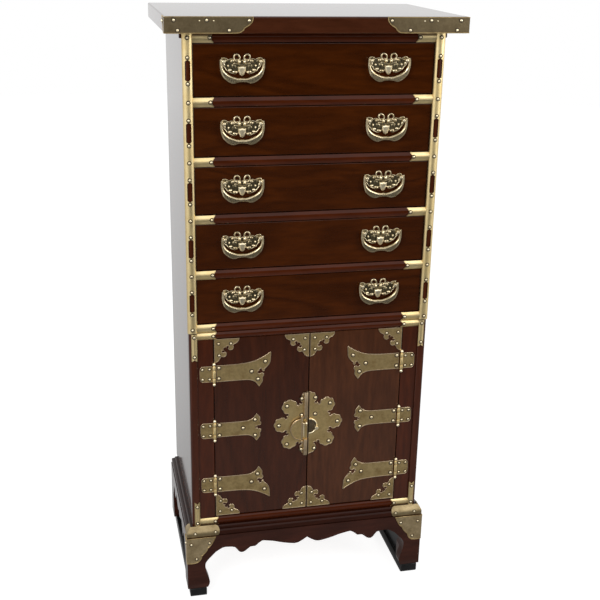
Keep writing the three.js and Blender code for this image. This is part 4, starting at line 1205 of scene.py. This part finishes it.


# The cast_dark beads are partly patina and partly painted shade in the pockets of the casting; the
# bright_brass bosses are partly rubbed brass and partly painted highlight.
beads = ((4.1, 12.4, 2.5, 2.7, 2.9, 0, bright_brass), (30.2, 13.4, 2.2, 1.5, 2.0, 20, bright_brass),
         (27.2, 8.4, 1.4, 3.0, 1.8, 20, bright_brass), (21.3, 6.6, 1.7, 2.0, 2.2, 0, bright_brass),
         (18.9, 0.0, 3.2, 1.9, 2.2, 8, bright_brass), (15.0, 13.6, 3.6, 2.4, 2.0, 20, cast_light),
         (11.0, -3.2, 4.2, 2.6, 2.0, -12, cast_light), (12.4, 5.6, 4.4, 3.4, 1.6, -30, cast_dark),
         (24.4, 13.4, 2.4, 2.9, 1.5, 0, cast_dark))
pull_parts = [cut_plate("pull_wings", wings, 0, 0.9, [(0.3, 0.3), (0.8, 0.1), (0.4, -0.35)], cast_dark,
                        cast_light)]
for side in (-1, 1):
    loop = start_piece("pull_loop", bpy.ops.mesh.primitive_torus_add, major_radius=LOOP * MM,
                       minor_radius=LOOP_WIRE * MM, major_segments=24, minor_segments=8,
                       rotation=(math.pi / 2, 0, 0))
    bpy.ops.object.transform_apply(location=True, rotation=True, scale=True)
    loop.data.transform(Matrix.Translation(Vector((side * LOOP_PLACE[0], *LOOP_PLACE[1:])) * MM)
                        @ Matrix.Rotation(math.radians(side * LOOP_LEAN), 4, "Y")
                        @ Matrix.Diagonal((0.92, 1, 1.08, 1)))
    loop.data.materials.append(cast_light)
    bpy.ops.object.shade_smooth()
    pull_parts += [loop, *(bead(side, *sizes) for sizes in beads)]
shield = [(-6.3, 3.0), (-6.6, 5.6), (-3.5, 5.0), (0, 6.2), (3.5, 5.0), (6.6, 5.6), (6.3, 3.0), (5.4, -2.5),
          (3.4, -7), (0, -9.4), (-3.4, -7), (-5.4, -2.5)]
band = [(-13, 9.0), (-12, 11.2), (0, 9.9), (12, 11.2), (13, 9.0), (6, 7.4), (0, 7.0), (-6, 7.4)]
pull_parts += [cut_plate("pull_shield", shield, -0.6, 1.6, [(0.5, 0.6), (1.0, 0.5), (1.3, 0.4)], bright_brass,
                         bright_brass),
               cut_plate("pull_band", flowing([*band, band[0]], 2)[:-1], -0.6, 1.1, [(0.4, 0.5), (0.7, 0.3)],
                         cast_light, cast_light)]
POST_X = 28.6
POST_Z = 13.0
POST_RADIUS = 2.6
for side in (-1, 1):
    post = prism("pull_post", round_section(side * POST_X, POST_Z, POST_RADIUS, 14), "Y", -0.4, -8.4)
    edit(bpy.ops.mesh.bevel, everything=False, offset=0.9 * MM, segments=3, affect="EDGES")
    post.data.materials.append(bright_brass)
    bpy.ops.object.shade_smooth_by_angle(angle=math.radians(40))
    pull_parts.append(post)


def joined(parts):
    """Joins the parts of a pull, and gives their mesh for the copies."""
    bpy.ops.object.select_all(action="DESELECT")
    for part in parts:
        part.select_set(True)
    bpy.context.view_layer.objects.active = parts[0]
    bpy.ops.object.join()
    whole = bpy.context.object
    mesh = whole.data.copy()
    bpy.data.objects.remove(whole)
    return mesh


pull_mesh = joined(pull_parts)
bail_outer = flowing([(34.2, 17.6), (34.9, 12), (34.6, 3), (31.6, -7.6), (26, -14), (19.5, -18.4),
                      (13, -19.8), (6.4, -17.9), (0, -17.5)])
bail_inner = flowing([(0, -11.6), (6, -11.8), (13, -9.9), (20, -7), (25.4, -3.2), (29.4, 2.4), (30.9, 9.6),
                      (30.7, 17.2)])
left_arm = [(-a, b) for a, b in reversed(bail_outer)]
bail_shape = [*bail_outer, *left_arm[1:], *[(-a, b) for a, b in reversed(bail_inner)], *bail_inner[1:]]
bail_parts = [cut_plate("pull_bail", bail_shape, -5.2, 1.6, [(0.4, 0.6), (0.9, 0.7), (0.9, 0.25)], cast_light,
                        cast_light)]
PIN_RADIUS = 1.1
PIN_LENGTH = 5.4
PIN_X = 30.8
PIN_OUT = 6.5
for side in (-1, 1):
    pin = start_piece("pull_pin", bpy.ops.mesh.primitive_cylinder_add, vertices=12, radius=PIN_RADIUS * MM,
                      depth=PIN_LENGTH * MM, rotation=(0, math.pi / 2, 0),
                      location=(side * PIN_X * MM, -PIN_OUT * MM, POST_Z * MM))
    bpy.ops.object.transform_apply(location=True, rotation=True, scale=True)
    pin.data.materials.append(bright_brass)
    bpy.ops.object.shade_smooth_by_angle(angle=math.radians(40))
    bail_parts.append(pin)
bail_mesh = joined(bail_parts)

PULL_SPREAD = 233
drawer_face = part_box("drawer_1_front")[0][1] / MM
for number, middle in zip(DRAWERS, drawer_middles):
    for name, side in SIDES:
        place = Vector((side * PULL_SPREAD / 2, drawer_face - 0.1, middle)) * MM
        for kind, mesh, body, node in (
                ("pull", pull_mesh, f"drawer_{number}", f"drawer_{number}_pull_plate_{name}"),
                ("bail", bail_mesh, f"drawer_{number}_bail_{name}", f"drawer_{number}_bail_{name}")):
            piece = bpy.data.objects.new(f"{kind}_{number}_{name}", mesh.copy())
            bpy.context.scene.collection.objects.link(piece)
            piece.data.transform(Matrix.Translation(place))
            fit(piece, body, node)

low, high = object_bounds()
